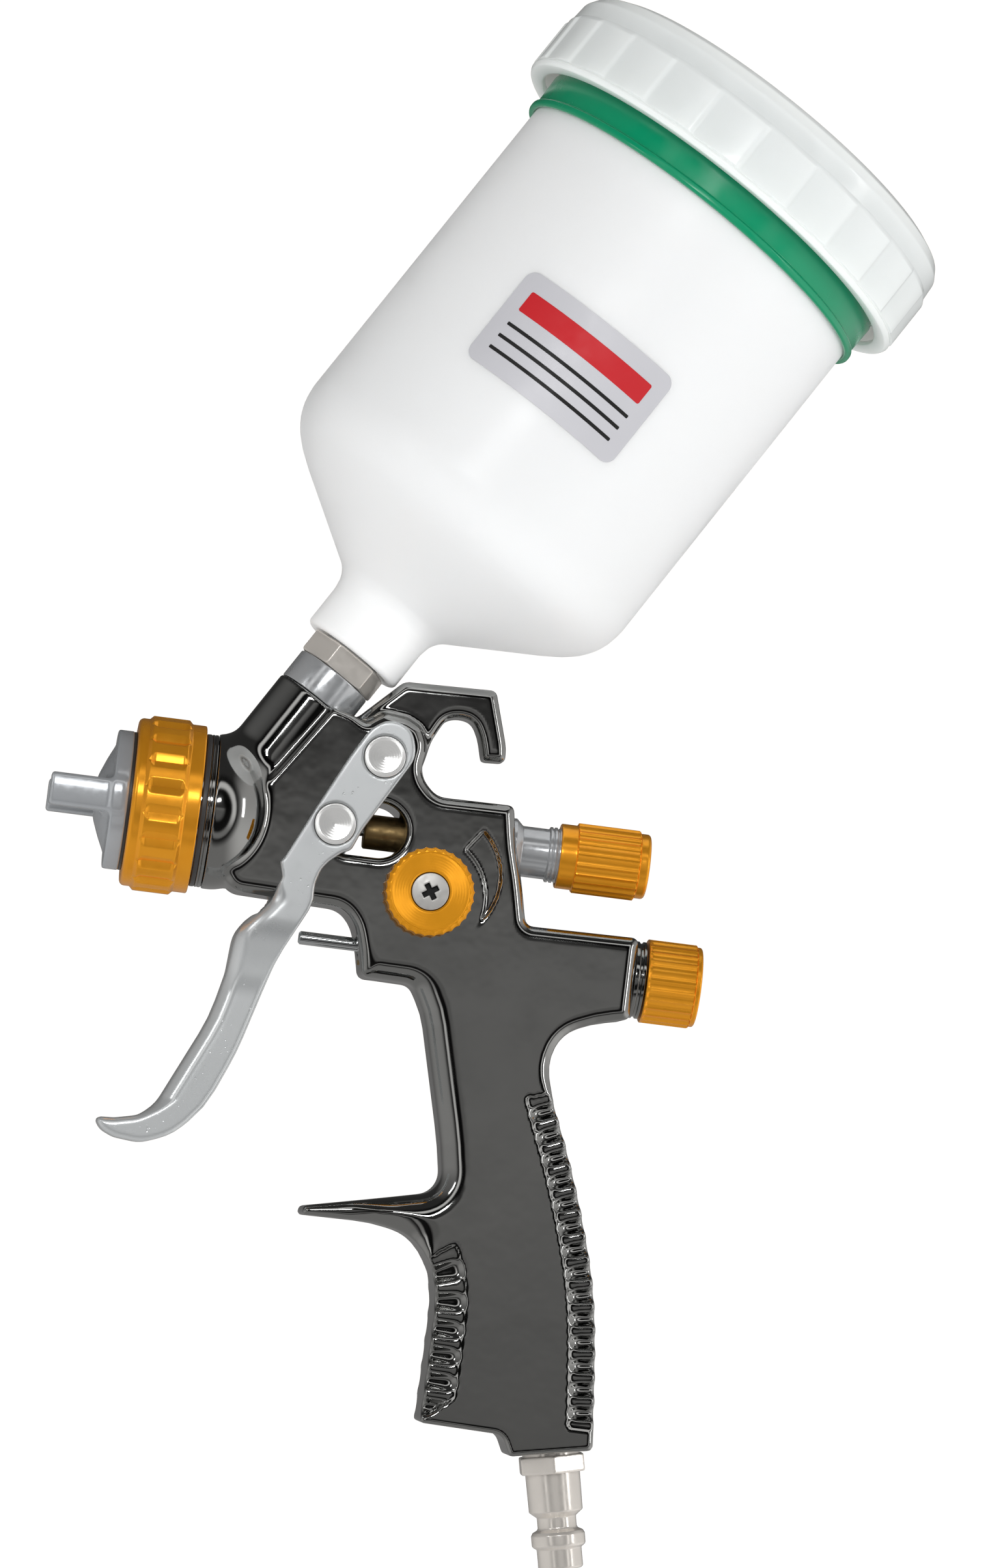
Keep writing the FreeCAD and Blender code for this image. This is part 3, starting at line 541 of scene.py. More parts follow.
def skin(field, origin, step):
    """Vertices, quads and normals of the surface where a gridded field is zero."""
    inside = field < 0
    corners = [tuple(slice(first, first + count - 1) for first, count in zip(offset, field.shape))
               for offset in np.ndindex(2, 2, 2)]
    filled = sum(inside[corner].astype(np.int8) for corner in corners)
    cells = np.argwhere((filled > 0) & (filled < 8))
    number = np.full(filled.shape, -1)
    number[tuple(cells.T)] = np.arange(len(cells))
    total = np.zeros((len(cells), 3))
    count = np.zeros(len(cells))
    for direction in range(3):
        for offset in np.ndindex(2, 2):
            start = np.insert(np.array(offset), direction, 0)
            end = np.insert(np.array(offset), direction, 1)
            a, b = field[tuple((cells + start).T)], field[tuple((cells + end).T)]
            hit = (a < 0) != (b < 0)
            t = a[hit] / (a[hit] - b[hit])
            total[hit] += start + (end - start) * t[:, None]
            count[hit] += 1
    place = cells + total / count[:, None]
    slopes = np.gradient(field)
    for _ in range(3):
        slope = np.stack([sample(part, place) for part in slopes], axis=1)
        move = sample(field, place)[:, None] * slope / np.maximum((slope ** 2).sum(1), 1e-4)[:, None]
        place = place - np.clip(move, -0.5, 0.5)
    slope = np.stack([sample(part, place) for part in slopes], axis=1)
    normals = slope / np.linalg.norm(slope, axis=1)[:, None]
    quads = []
    for direction in range(3):
        others = [axis for axis in range(3) if axis != direction]
        near = [slice(1, -1)] * 3
        far = [slice(1, -1)] * 3
        near[direction] = slice(0, -1)
        far[direction] = slice(1, None)
        first, second = inside[tuple(near)], inside[tuple(far)]
        for flip in (False, True):
            edge = np.argwhere(second & ~first if flip else first & ~second)
            for axis in others:
                edge[:, axis] += 1
            ring = []
            for offset in ((0, 0), (-1, 0), (-1, -1), (0, -1)):
                cell = edge.copy()
                cell[:, others[0]] += offset[0]
                cell[:, others[1]] += offset[1]
                ring.append(number[tuple(cell.T)])
            ring = np.stack(ring, axis=1)
            turn = flip != (direction == 1)
            quads.append(ring[:, ::-1] if turn else ring)
    return origin + place * step, np.concatenate(quads), normals


def block(start, end, step):
    """A grid over a box: its values along X, Y and Z, and the same shaped to fill the box together."""
    xs, ys, zs = (np.arange(first, last + step, step) for first, last in zip(start, end))
    return xs, ys, zs, xs[:, None, None], ys[None, :, None], zs[None, None, :]


def make_cast(name, node, field, origin, step, material):
    """A piece that stands for a CAD node, its skin where a gridded field is zero."""
    vertices, quads, normals = skin(field.astype(np.float32), origin, step)
    make_piece(name, vertices, quads, material, node_body(node), (node,), normals=normals)


# ---- cast body
BODY_HALF = 10.5
HOOK_HALF = 5.0
BODY_OUTLINE = [
    (30.0, -17.2), (57.0, -17.9), (60.2, -21.0), (62.1, -26.9), (63.2, -32.6, 2), (74.6, -32.8, 3),
    (78.1, -38.6), (85.4, -67.4), (86.9, -77.4, 5), (70.9, -81.1), (56.6, -84.2, 1), (56.4, -86.2, 0.8),
    (72.6, -86.0), (80.2, -87.6), (84.4, -91.0), (87.0, -95.5), (88.2, -101.9), (88.1, -115.9),
    (87.9, -128.4, 0.8), (106.3, -128.9, 3), (108.5, -133.5, 0.8), (126.6, -130.0, 1.2), (125.8, -119.2),
    (124.1, -103.0), (122.1, -92.0), (117.4, -76.6), (112.7, -64.0), (108.3, -54.0), (106.5, -46.0),
    (109.0, -39.6), (116.2, -36.2), (123.4, -34.6, 1.5), (123.4, -16.4, 1.5), (98.0, -16.8, 2), (95.7, -6.3),
    (93.8, 0.0), (92.2, 9.3, 1.5), (74.8, 9.1, 5), (70.4, 13.6), (71.6, 20.0), (69.6, 24.0, 3),
    (66.4, 25.6, 4), (61.0, 26.2, 3), (57.4, 23.4, 2), (54.2, 24.6, 1), (49.4, 25.8, 1), (35.2, 4.9),
    (32.0, -4.0), (30.0, -8.0),
]
HOOK_OUTLINE = [
    (46.0, 14.0), (53.2, 22.4), (57.5, 26.7), (65.0, 34.0, 3), (85.6, 34.6, 1.6), (89.4, 22.0),
    (89.4, 18.9, 1), (84.4, 18.6, 1), (83.0, 24.0), (81.2, 27.0), (78.3, 27.6), (75.3, 26.8), (72.6, 22.0),
    (70.4, 13.6), (66.0, 8.0), (52.0, 6.0),
]
GRIP_PITCH = 5.35
GRIP_LAND = 2.1
SCOOP_DEPTH = 2.5
BARREL_END = 27.0
BARREL_RADIUS = 17.2
BARREL_DOME = 13.5
BOSS_RADIUS = 9.3
BOSS_TOP = 32.3
NECK_RADIUS = 15.9
NECK_LENGTH = 14.0
WINDOW_FRONT = 56.5
WINDOW_BACK = 63.0
WINDOW_HALF = 6.1
WINDOW_CORNER = 3.0
RECESS_DEPTH = 1.1


def crescent_field(x, z):
    """Plan of the crescent-shaped recess round the fan knob."""
    outer = np.hypot(x - FAN[0] - 1.2, z - FAN[2] - 4.2) - 14.4
    inner = np.hypot(x - FAN[0] + 1.0, z - FAN[2] + 0.8) - 13.9
    top = (FAN[0] + 8.2 - x) * 0.8 + (z - FAN[2] - 12.0) * 0.6
    return np.maximum(np.maximum(outer, -inner), top)


def along_edge(outline, point):
    """How far round an outline a point on it is."""
    runs = np.linalg.norm(np.diff(outline, axis=0), axis=1)
    travelled = np.concatenate([[0], np.cumsum(runs)])
    return travelled[np.argmin(np.linalg.norm(outline - np.array(point), axis=1))]


class Grip:
    """A row of scoops open along one edge of the handle, with flat lands left between them."""

    def __init__(self, outline, first, last, far):
        self.start, self.end = sorted((along_edge(outline, first), along_edge(outline, last)))
        self.pitch = (self.end - self.start) / round((self.end - self.start) / GRIP_PITCH)
        self.half = (self.pitch - GRIP_LAND) / 2
        self.far = far

    def phase(self, place):
        """Distance along the edge from the nearest scoop's middle."""
        return np.mod(place - self.start, self.pitch) - self.pitch / 2

    def covers(self, place, spare=0.0):
        """Where the row runs."""
        return (place > self.start - spare) & (place < self.end + spare)

    def step_down(self, flat, place):
        """How far the strip lies below the panel; the panel's border waves with the scoops."""
        border = self.far + 0.3 * np.cos(2 * math.pi * self.phase(place) / self.pitch + math.pi)
        return np.clip((border + flat) / 0.5, 0, 1) * 0.4 * self.covers(place, 1.0)

    def scoops(self, flat, place, y):
        """Field of the scoops."""
        across = self.phase(place) / self.half
        inner_end = np.maximum(-flat - self.far + 2.2, 0) / 2.2
        plan = np.where(self.covers(place), np.hypot(across, inner_end), 9.0)
        depth = np.clip(SCOOP_DEPTH + 0.2 * flat, 1.0, SCOOP_DEPTH)
        down = (BODY_HALF - np.abs(y)) / depth[:, None, :]
        return (np.sqrt(plan[:, None, :] ** 2 + down ** 2) - 1) * 1.5


def body_edges(x, z):
    """How round the plate's edges are: rounder at the front of the handle, crisp along the grips."""
    front = 1 - ramp(x, 94.0, 100.0)
    edge = 2.8 + 3.3 * ramp(-z, 24.0, 34.0) * ramp(x, 62.5, 67.0) * front * (1 - ramp(-z, 84.0, 93.0))
    edge = edge - 1.5 * ramp(-z, 48.0, 58.0) * (1 - front) - 1.5 * ramp(-z, 86.0, 94.0) * front
    edge = edge - 1.5 * ramp(z, 0.0, 8.0) * (1 - ramp(x, 52.0, 60.0))
    return np.minimum(edge, 2.0 + 4.1 * ramp(x, 66.0, 78.0) + 9 * ramp(z, -70.0, -60.0))


def make_gun_body():
    """The casting, as one smooth skin."""
    step = 0.5
    front = low("gun_body")[0]
    origin = np.array((front - 1.0, -19.0, -136.0))
    xs, _, zs, x, y, z = block(origin, (128.0, 19.0, 37.0), step)
    outline = rounded(BODY_OUTLINE)
    flat, place = outline_field(outline, xs, zs)
    hook_flat, _ = outline_field(rounded(HOOK_OUTLINE), xs, zs)
    x2, z2 = np.meshgrid(xs, zs, indexing="ij")

    def lift(plan):
        """A plan over x and z, spread across y."""
        return plan[:, None, :]

    field = slab(lift(flat), y, BODY_HALF, lift(body_edges(x2, z2)))
    back = Grip(outline, (125.9, -124.0), (108.9, -55.2), 5.8)
    fore = Grip(outline, (86.4, -94.2), (88.0, -126.5), 6.8)
    for grip in (back, fore):
        field = np.maximum(field, np.abs(y) - lift(BODY_HALF - grip.step_down(flat, place)))
        field = carve(field, grip.scoops(flat, place, y), 0.6)
    field = join(field, slab(lift(hook_flat), y, HOOK_HALF, 2.2), 1.6)

    away = np.hypot(y, z)
    past = x - BARREL_END
    stretch = np.hypot(past / BARREL_DOME, away / BARREL_RADIUS)
    slope = np.sqrt((past / BARREL_DOME ** 2) ** 2 + (away / BARREL_RADIUS ** 2) ** 2)
    dome = (stretch - 1) * stretch / np.maximum(slope, 1e-3)
    barrel = np.where(x < BARREL_END, away - BARREL_RADIUS, dome)
    boss = rod(x, y, z, CUP_AXIS, BOSS_RADIUS, -8.0, BOSS_TOP, 0.5)
    field = join(field, join(barrel, boss, 3.2), 1.4)
    field = np.maximum(field, front + 9.75 - x)
    field = np.minimum(field, rod(x, y, z, SPRAY_AXIS, NECK_RADIUS, front, front + NECK_LENGTH, 0.2))

    round_end = np.hypot(np.maximum(x2 - WINDOW_BACK, 0), z2) - WINDOW_HALF
    above = np.maximum(np.abs(z2) - 3.1, 0)
    square_end = np.hypot(np.maximum(WINDOW_FRONT - x2, 0), above) - WINDOW_CORNER
    window = np.maximum(round_end, square_end)
    field = carve(field, lift(window), 2.0)
    field = carve(field, rod(x, y, z, VALVE_AXIS, 2.2, 40.0, 66.0, 0.1), 0.6)
    field = carve(field, rod(x, y, z, SPRAY_AXIS, 7.3, low("fluid_bush")[0] + 8.7, 110.0, 0.1), 0.8)
    recess = np.maximum(lift(crescent_field(x2, z2)), y + BODY_HALF - RECESS_DEPTH)
    field = carve(field, recess, 0.35)
    make_cast("cast_body", "gun_body", field, origin, step, CHROME)


# ---- trigger
TRIGGER_OUTLINE = [
    (58.4, 22.2), (54.6, 15.6, 4), (48.6, 3.5, 30), (42.9, -8.6, 6), (42.0, -9.8, 0.5), (42.9, -13.2, 1),
    (41.8, -16.0, 1), (38.6, -20.2, 20), (34.4, -26.0, 8), (33.6, -35.0, 12), (31.2, -45.4, 40),
    (21.7, -65.9, 12), (18.2, -68.8, 6), (12.9, -70.0, 6), (8.7, -70.2, 0.8), (10.2, -72.8, 4),
    (13.4, -74.2, 5), (19.5, -74.8, 8), (25.8, -72.4, 14), (32.5, -65.6, 30), (38.0, -52.4, 60),
    (43.6, -32.6, 16), (45.2, -28.6, 8), (49.6, -19.6, 3), (50.3, -17.2, 1.5), (50.2, -13.8, 6),
    (51.2, -10.2, 5), (52.8, -8.2, 4), (55.4, -6.0, 2), (57.2, -5.4, 2), (59.2, -0.5, 20), (69.2, 17.1, 9),
    (67.6, 22.4, 7), (64.6, 24.2, 7), (61.4, 24.2, 7),
]
PLATE_OUTSIDE = 12.6
PLATE_INSIDE = 10.8
LEVER_HALF = 7.5
PLATE_HOLE = 4.66


def make_trigger():
    """Two thin side plates that run down into the solid finger lever, whose front is well rounded."""
    step = 0.4
    origin = np.array((7.0, -13.4, -76.0))
    xs, _, zs, x, y, z = block(origin, (71.0, 13.4, 25.5), step)
    outline = rounded(TRIGGER_OUTLINE)
    flat, place = outline_field(outline, xs, zs)
    z2 = np.meshgrid(xs, zs, indexing="ij")[1]
    front_start, front_end = (along_edge(outline, point) for point in ((42.6, -14.0), (9.0, -71.0)))
    front = (place > front_start) & (place < front_end)
    half = PLATE_OUTSIDE - (PLATE_OUTSIDE - LEVER_HALF) * ramp(-z2, 22.0, 40.0)
    edge = np.where(front, 0.35 + 3.6 * ramp(-z2, 13.5, 19.0), 0.35 + 0.9 * ramp(-z2, 28.0, 40.0))
    edge = np.minimum(edge, 4.6 - 3.0 * ramp(-z2, 62.0, 70.0))
    field = slab(flat[:, None, :], y, half[:, None, :], edge[:, None, :])
    gap = np.maximum(np.abs(y) - PLATE_INSIDE, (x - 44.0) * 0.42 - (z + 19.0) * 0.9)
    field = carve(field, gap, 0.5)
    for axis in (PIVOT_AXIS, DRIVE_AXIS):
        field = np.maximum(field, PLATE_HOLE - np.hypot(x - axis.point[0], z - axis.point[2]))
    make_cast("trigger_pressing", "trigger", field, origin, step, PLATED)


def make_studs():
    """Flush heads of the pivot and of the studs that drive the needle, each faced to a shallow dish."""
    pivot, drive = (PIVOT_AXIS, PIVOT_FACE, -4.0, 3.0), (DRIVE_AXIS, DRIVE_FACE, 2.6, 3.8)
    heads = (("trigger_pivot_screw", 1, pivot), ("trigger_pivot_pin", -1, pivot),
             ("near_drive_stud", 1, drive), ("far_drive_stud", -1, drive))
    for node, side, (axis, material, start, shank) in heads:
        turned(node + "_head", node, Axis(axis.point, axis.way * side), [
            (start, 0), (start, shank, 0.2), (10.6, shank, 0.1), (10.6, 4.55, 0.1), (13.1, 4.55, 0.25),
            (13.1, 3.55, 0.1), (12.6, 0.12, 0.1), (12.6, 0)], material)


# ---- head
RING_FLUTES = 20
BAND_START = 10.5
BAND_END = 19.2
FLUTE_HALF = 1.85
FLUTE_SLOPE = 0.42


def ring_shape(along, radius, angles):
    """V-shaped flutes with pointed ends round the retaining ring's band."""
    pitch = 2 * math.pi / RING_FLUTES
    across = np.abs(np.mod(angles, pitch) - pitch / 2) * radius
    ends = min(along - BAND_START, BAND_END - along)
    if ends < 0:
        return radius + 0 * angles
    mouth = FLUTE_HALF * min(1.0, 0.25 + ends / 1.5)
    return radius - FLUTE_SLOPE * np.clip(mouth - across, 0, FLUTE_HALF)


def make_retaining_ring():
    """Gold ring with rounded lips and a fluted band between them."""
    turned("retaining_ring", "air_cap_ring", SPRAY_AXIS, [
        (7.65, 14.75, 0.1), (7.65, 16.2, 0.1), (7.65, 18.7, 1.9), (10.0, 18.7, 0.3), (10.8, 19.5, 0.3),
        (18.8, 19.5, 0.3), (19.6, 18.7, 0.3), (22.75, 18.7, 0.35), (22.75, 16.05, 0.1), (12.4, 16.05, 0.1),
        (12.4, 14.75, 0.1)], GOLD, 720, ring_shape, 0.3)


def make_air_cap():
    """Domed cap with a flanged rim and two horns that run out of it on soft fillets."""
    step = 0.3
    origin = np.array((-11.2, -16.4, -16.4))
    xs, ys, zs, x, y, z = block(origin, (12.6, 16.4, 16.4), step)
    profile = rounded([
        (0.0, 1.85, 0.1), (0.0, 4.1, 1), (0.35, 5.4, 5), (1.7, 8.8, 14), (3.3, 12.2, 3), (3.4, 15.5, 0.5),
        (7.0, 15.5, 0.2), (7.0, 14.6, 0.1), (12.0, 14.6, 0.2), (12.0, 12.8, 0.1), (8.4, 12.8, 0.5),
        (5.0, 10.0, 2), (2.2, 5.0, 1), (1.2, 1.85, 0.1)])
    radii = np.arange(-0.6, 24.0 + step, step)
    plan, _ = outline_field(profile, xs, radii)
    away = np.hypot(ys[:, None], zs[None, :])
    base = np.clip(np.floor((away - radii[0]) / step).astype(int), 0, len(radii) - 2)
    share = (away - radii[0]) / step - base
    cap = plan[:, base] * (1 - share) + plan[:, base + 1] * share
    reach = low("air_cap")[0]
    outer = high("air_cap")[1] - 0.1
    inner = 9.6 + (x + 8.4) * -0.13
    root, half_height, edge = 6.0, 3.6, 0.7
    across = np.maximum(np.maximum(np.hypot(y, z) - outer, inner - np.abs(y)) + edge, 0)
    lengthways = np.maximum(np.abs(x - (reach + root) / 2) - (root - reach) / 2 + edge, 0)
    tall = np.maximum(np.abs(z) - half_height + edge, 0)
    horn = np.sqrt(across ** 2 + tall ** 2 + lengthways ** 2) - edge
    make_cast("air_cap_casting", "air_cap", join(cap, horn, 1.6), origin, step, CAP_STEEL)


def make_head_rings():
    """Thin rings in front of and behind the retaining ring."""
    turned("slip_ring", "cap_slip_ring", SPRAY_AXIS, [
        (7.0, 14.65), (7.0, 15.4, 0.1), (7.6, 15.4, 0.1), (7.6, 14.65)], RUBBER)
    turned("head_seal_ring", "head_seal", SPRAY_AXIS, [
        (23.0, 16.0), (23.0, 17.0, 0.3), (24.2, 17.0, 0.3), (24.2, 16.0)], RUBBER)
    turned("wear_ring", "head_wear_ring", SPRAY_AXIS, [
        (24.25, 16.0), (24.25, 17.0, 0.15), (24.7, 17.0, 0.05), (24.75, 16.75), (24.85, 16.75),
        (24.9, 17.0, 0.05), (25.6, 17.0, 0.2), (25.6, 16.0)], CHROME)


# ---- knobs and bushes
def straight_flutes(count, depth, start, end, core=0.0):
    """A shape that cuts hollow flutes, with thin ridges between, over part of an axis and outside a core."""
    def shape(along, radius, angles):
        phase = np.mod(angles * count / (2 * math.pi), 1) * 2 - 1
        return radius - depth * (1 - phase ** 2) * (start < along < end and radius > core)
    return shape


def make_fluid_line():
    """Bush behind the body, its thread, and the fluid knob."""
    turned("bush", "fluid_bush", SPRAY_AXIS, [
        (84.0, 3.6), (84.0, 5.2), (92.6, 5.2), (92.6, 7.1, 0.2), (93.9, 7.1, 0.25), (95.4, 5.65, 0.4),
        (101.3, 5.65, 0.2), (101.6, 6.2, 0.1), (102.1, 6.2, 0.1), (102.3, 5.75), (102.6, 6.2, 0.1),
        (103.1, 6.2, 0.1), (103.3, 5.75), (103.7, 6.2, 0.1), (113.0, 6.2), (113.0, 3.6)], RING_STEEL)
    turned("fluid_grip", "fluid_knob", SPRAY_AXIS, [
        (117.0, 0), (117.0, 6.26), (103.9, 6.26), (103.9, 7.25, 0.3), (107.5, 7.25, 0.1), (107.8, 7.85, 0.15),
        (121.6, 7.85, 0.25), (121.9, 7.25, 0.1), (124.1, 7.25, 0.8), (124.1, 0)],
        GOLD, 480, straight_flutes(24, 0.4, 107.75, 121.75), 0.4)


def make_air_knob():
    """Bush in the air boss, and the knob behind it."""
    turned("air_bush", "air_valve_bush", VALVE_AXIS, [
        (102.0, 4.7), (102.0, 7.35), (123.5, 7.35), (123.5, 8.6, 0.2), (124.4, 8.6, 0.2), (124.6, 8.2, 0.1),
        (125.1, 8.2, 0.1), (125.3, 8.6, 0.1), (126.0, 8.6, 0.2), (126.0, 2.56), (118.0, 2.56),
        (118.0, 4.7)], CHROME)
    turned("air_grip", "air_knob", VALVE_AXIS, [
        (132.0, 0), (132.0, 2.55), (126.3, 2.55), (126.3, 9.35, 0.3), (137.2, 9.35, 0.2), (137.4, 8.9, 0.1),
        (138.5, 8.9, 0.5), (138.5, 0)],
        GOLD, 520, straight_flutes(26, 0.35, 126.7, 137.25), 0.4)


def make_fan_knob():
    """Gold knob with a scalloped rim, and the cross-head screw that holds it."""
    turned("fan_grip", "fan_knob", FAN_AXIS, [
        (10.9, 2.6), (10.9, 9.3, 0.3), (11.6, 9.9, 0.3), (16.4, 9.9, 0.3), (17.15, 9.2, 0.3),
        (17.2, 8.75, 0.1), (17.12, 8.6, 0.05), (17.2, 8.45, 0.1), (17.2, 4.7, 0.1), (16.9, 4.3, 0.1),
        (14.6, 4.3), (14.6, 1.55), (13.5, 1.55), (13.5, 2.6)],
        FAN_FACE, 480, straight_flutes(30, 0.32, 11.2, 18.0, core=9.0), 0.5)
    step = 0.14
    origin = np.array((FAN[0] - 4.6, -17.9, FAN[2] - 4.6))
    x, y, z = block(origin, origin + (9.2, 10.0, 9.2), step)[3:]
    x, z = x - FAN[0], z - FAN[2]
    away = np.hypot(x, z)
    head = np.maximum(np.hypot(away, y - 6.6) - 24.0, np.maximum(away - 4.1, y + 15.0))
    shank = np.maximum(away - 1.45, np.maximum(y + 8.4, -16.0 - y))
    turn = math.radians(33)
    u = np.abs(x * math.cos(turn) + z * math.sin(turn))
    v = np.abs(z * math.cos(turn) - x * math.sin(turn))
    cross = np.minimum(np.maximum(u - 1.9, v - 0.6), np.maximum(v - 1.9, u - 0.6))
    cross = np.maximum(cross, y + 15.9)
    field = carve(np.minimum(head, shank), cross, 0.2)
    make_cast("fan_screw", "fan_knob_screw", field, origin, step, SCREW_STEEL)


def coil_spring(node, axis, coil_radius, wire, turns):
    """Coil spring behind a sliding part, wound to fill its CAD node's length."""
    front, back = low(node)[0], high(node)[0]
    steps, sides = turns * 24, 8
    vertices = []
    for turn in np.linspace(0, turns, steps + 1):
        along = front + wire + (back - front - 2 * wire) * turn / turns
        for around in np.linspace(0, 2 * math.pi, sides, endpoint=False):
            vertices.append(axis.at(along + wire * math.sin(around), coil_radius + wire * math.cos(around),
                                    turn * 2 * math.pi))
    last = steps * sides
    faces = []
    for ring in range(0, last, sides):
        for side in range(sides):
            following = (side + 1) % sides
            faces.append([ring + side, ring + following, ring + sides + following, ring + sides + side])
    faces += [list(range(sides - 1, -1, -1)), list(range(last, last + sides))]
    spring = make_piece(node + "_coil", vertices, faces, SPRING_STEEL, node_body(node), (node,))
    anchor = Vector(axis.point) * MM
    anchor.x = back * MM
    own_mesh(spring)


# ---- cup and lid
def hexagon_prism(name, node, axis, start, end, corner, turn, bore, material):
    """A hexagon nut with its corners chamfered by turning, as a distance field."""
    step, bevel = 0.25, 0.35
    reach = corner + 1.0
    centre = axis.point + axis.way * (start + end) / 2
    spread = np.abs(axis.way) * ((end - start) / 2 + 1) + reach * np.sqrt(1 - axis.way ** 2)
    places = block(centre - spread, centre + spread, step)[3:]
    offset = [value - first for value, first in zip(places, axis.point)]
    along, near, side = (measured(offset, way) for way in (axis.way, axis.near, axis.side))
    flats = -1e9
    for index in range(3):
        angle = turn + index * math.pi / 3
        flats = np.maximum(flats, np.abs(near * math.cos(angle) + side * math.sin(angle)) - corner * 0.866)
    away = np.hypot(near, side)
    caps = np.abs(along - (start + end) / 2) - (end - start) / 2
    chamfer = (away - corner * 0.93 + caps * 1.7) * 0.5
    body = -join(-np.maximum(flats, chamfer), -caps, bevel)
    make_cast(name, node, np.maximum(body, bore - away), centre - spread, step, material)


LID_WALL = 50.75
LID_RIBS = 24
RIBS_START = 175.7
RIBS_END = 188.4


def rib_shape(along, radius, angles):
    """Low broad ribs round the lid's skirt: each rises slowly and drops in a short step."""
    if radius < LID_WALL or not RIBS_START < along < RIBS_END:
        return radius + 0 * angles
    phase = np.mod(angles * LID_RIBS / (2 * math.pi), 1)
    rib = ramp(phase, 0.05, 0.85) * (1 - ramp(phase, 0.9, 1.0))
    return LID_WALL + (radius - LID_WALL) * rib


def make_cup():
    """Milky cup with its nut and inlet ring, the green band, the ribbed lid and what is on them."""
    turned("inlet_ring", "fluid_inlet_ring", CUP_AXIS, [
        (24.0, 4.0), (24.0, 6.9), (32.4, 6.9), (32.4, 9.1, 0.3), (39.3, 9.1, 0.3), (39.3, 7.0), (50.0, 7.0),
        (50.0, 4.0)], RING_STEEL, 128)
    hexagon_prism("outlet_nut", "cup_outlet_nut", CUP_AXIS, 39.45, 45.1, 9.6, math.radians(10), 7.05, NICKEL)
    turned("cup_shell", "cup_body", CUP_AXIS, [
        (45.1, 8.5), (45.1, 12.1, 1.2), (54.9, 12.1, 6), (57.6, 12.6, 4), (59.9, 14.0, 6), (66.9, 25.0, 80),
        (72.5, 33.8, 30), (75.2, 37.6, 12), (77.6, 40.2, 10), (80.2, 42.1, 10), (83.2, 43.4, 10),
        (86.9, CUP_RADIUS, 12), (179.0, CUP_RADIUS), (179.0, 46.8, 0.3), (191.0, 46.8, 0.4),
        (191.0, 42.0, 0.4), (87.4, 42.0, 10), (84.0, 41.5, 8), (81.2, 40.4, 8), (78.8, 38.7, 8),
        (76.6, 36.3, 8), (61.5, 12.5, 4), (58.5, 8.5, 1)], CUP_PLASTIC, 192, spacing=6)
    turned("green_band", "cup_band", CUP_AXIS, [
        (166.7, 44.05), (166.7, 45.6, 0.7), (168.3, 45.6, 0.6), (168.6, 44.9, 0.3), (175.9, 45.2, 0.4),
        (175.9, 44.05)], GREEN, 192)
    turned("lid_shell", "cup_lid", CUP_AXIS, [
        (175.2, 47.2, 0.3), (174.0, 47.2, 0.3), (174.0, 50.5, 0.7), (175.0, 51.1, 0.4), (175.6, 50.6, 0.2),
        (175.9, 51.2, 0.3), (187.2, 51.2, 0.8), (188.3, 50.5, 0.6), (192.4, 50.2, 1.5), (194.7, 48.7, 1.5),
        (196.0, 46.0, 1.5), (196.4, 42.5, 1), (194.4, 41.2, 0.8), (194.4, 3.1, 0.2), (192.6, 3.1, 0.2),
        (192.6, 48.6, 1), (189.5, 49.2, 2), (176.4, 49.3, 0.5)], LID_PLASTIC, 720, rib_shape, 2.5)
    turned("vent_plug", "lid_vent_plug", CUP_AXIS, [
        (193.0, 0), (193.0, 3.0), (196.5, 3.0), (196.5, 6.0, 0.3), (197.7, 5.4, 0.4), (197.7, 0)], GREEN, 64)


def patch(name, centre, half_size, corner, radius, material, replaced=()):
    """A thin patch with rounded corners, bent round the cup. Sizes run round the cup, then along it."""
    half_round, half_along = half_size
    places = [half_round - corner + corner * math.sin(a) for a in np.linspace(0, math.pi / 2, 9)]
    between = np.linspace(corner - half_round, half_round - corner, max(2, int(half_round)))
    columns = [-place for place in reversed(places)] + list(between[1:-1]) + places
    vertices = []
    for place in columns:
        past = max(0.0, abs(place) - half_round + corner)
        reach = half_along - corner + math.sqrt(max(0.0, corner ** 2 - past ** 2))
        angle = (centre[0] + place) / CUP_RADIUS
        for level in (radius - 0.06, radius):
            vertices += [CUP_AXIS.at(centre[1] + side * reach, level, angle) for side in (-1, 1)]
    faces = []
    for index in range(len(columns) - 1):
        a, b = index * 4, index * 4 + 4
        faces += [[a + 2, b + 2, b + 3, a + 3], [a, a + 1, b + 1, b], [a, b, b + 2, a + 2],
                  [a + 1, a + 3, b + 3, b + 1]]
    last = (len(columns) - 1) * 4
    faces += [[0, 2, 3, 1], [last, last + 1, last + 3, last + 2]]
    make_piece(name, vertices, faces, material, "gun", replaced, "label_foil", sharp=30)


def make_label():
    """Silver label with a plain red stripe and three thin dark rules."""
    half = math.radians(54.0) / 2 * CUP_RADIUS
    across, along = CUP_RADIUS * math.radians(-3.0), 120.4
    sheet, print_level = CUP_RADIUS + 0.14, CUP_RADIUS + 0.19
    patch("label_sheet", (across, along), (half, 12.0), 2.6, sheet, FOIL, replaced=("cup_label",))
    patch("label_stripe", (across, along + 5.2), (17.0, 2.6), 0.5, print_level, RED)
    for index in range(3):
        centre = (across, along - 1.0 - index * 3.2)
        patch("label_rule_%d" % index, centre, (17.0, 0.4), 0.2, print_level, INK)


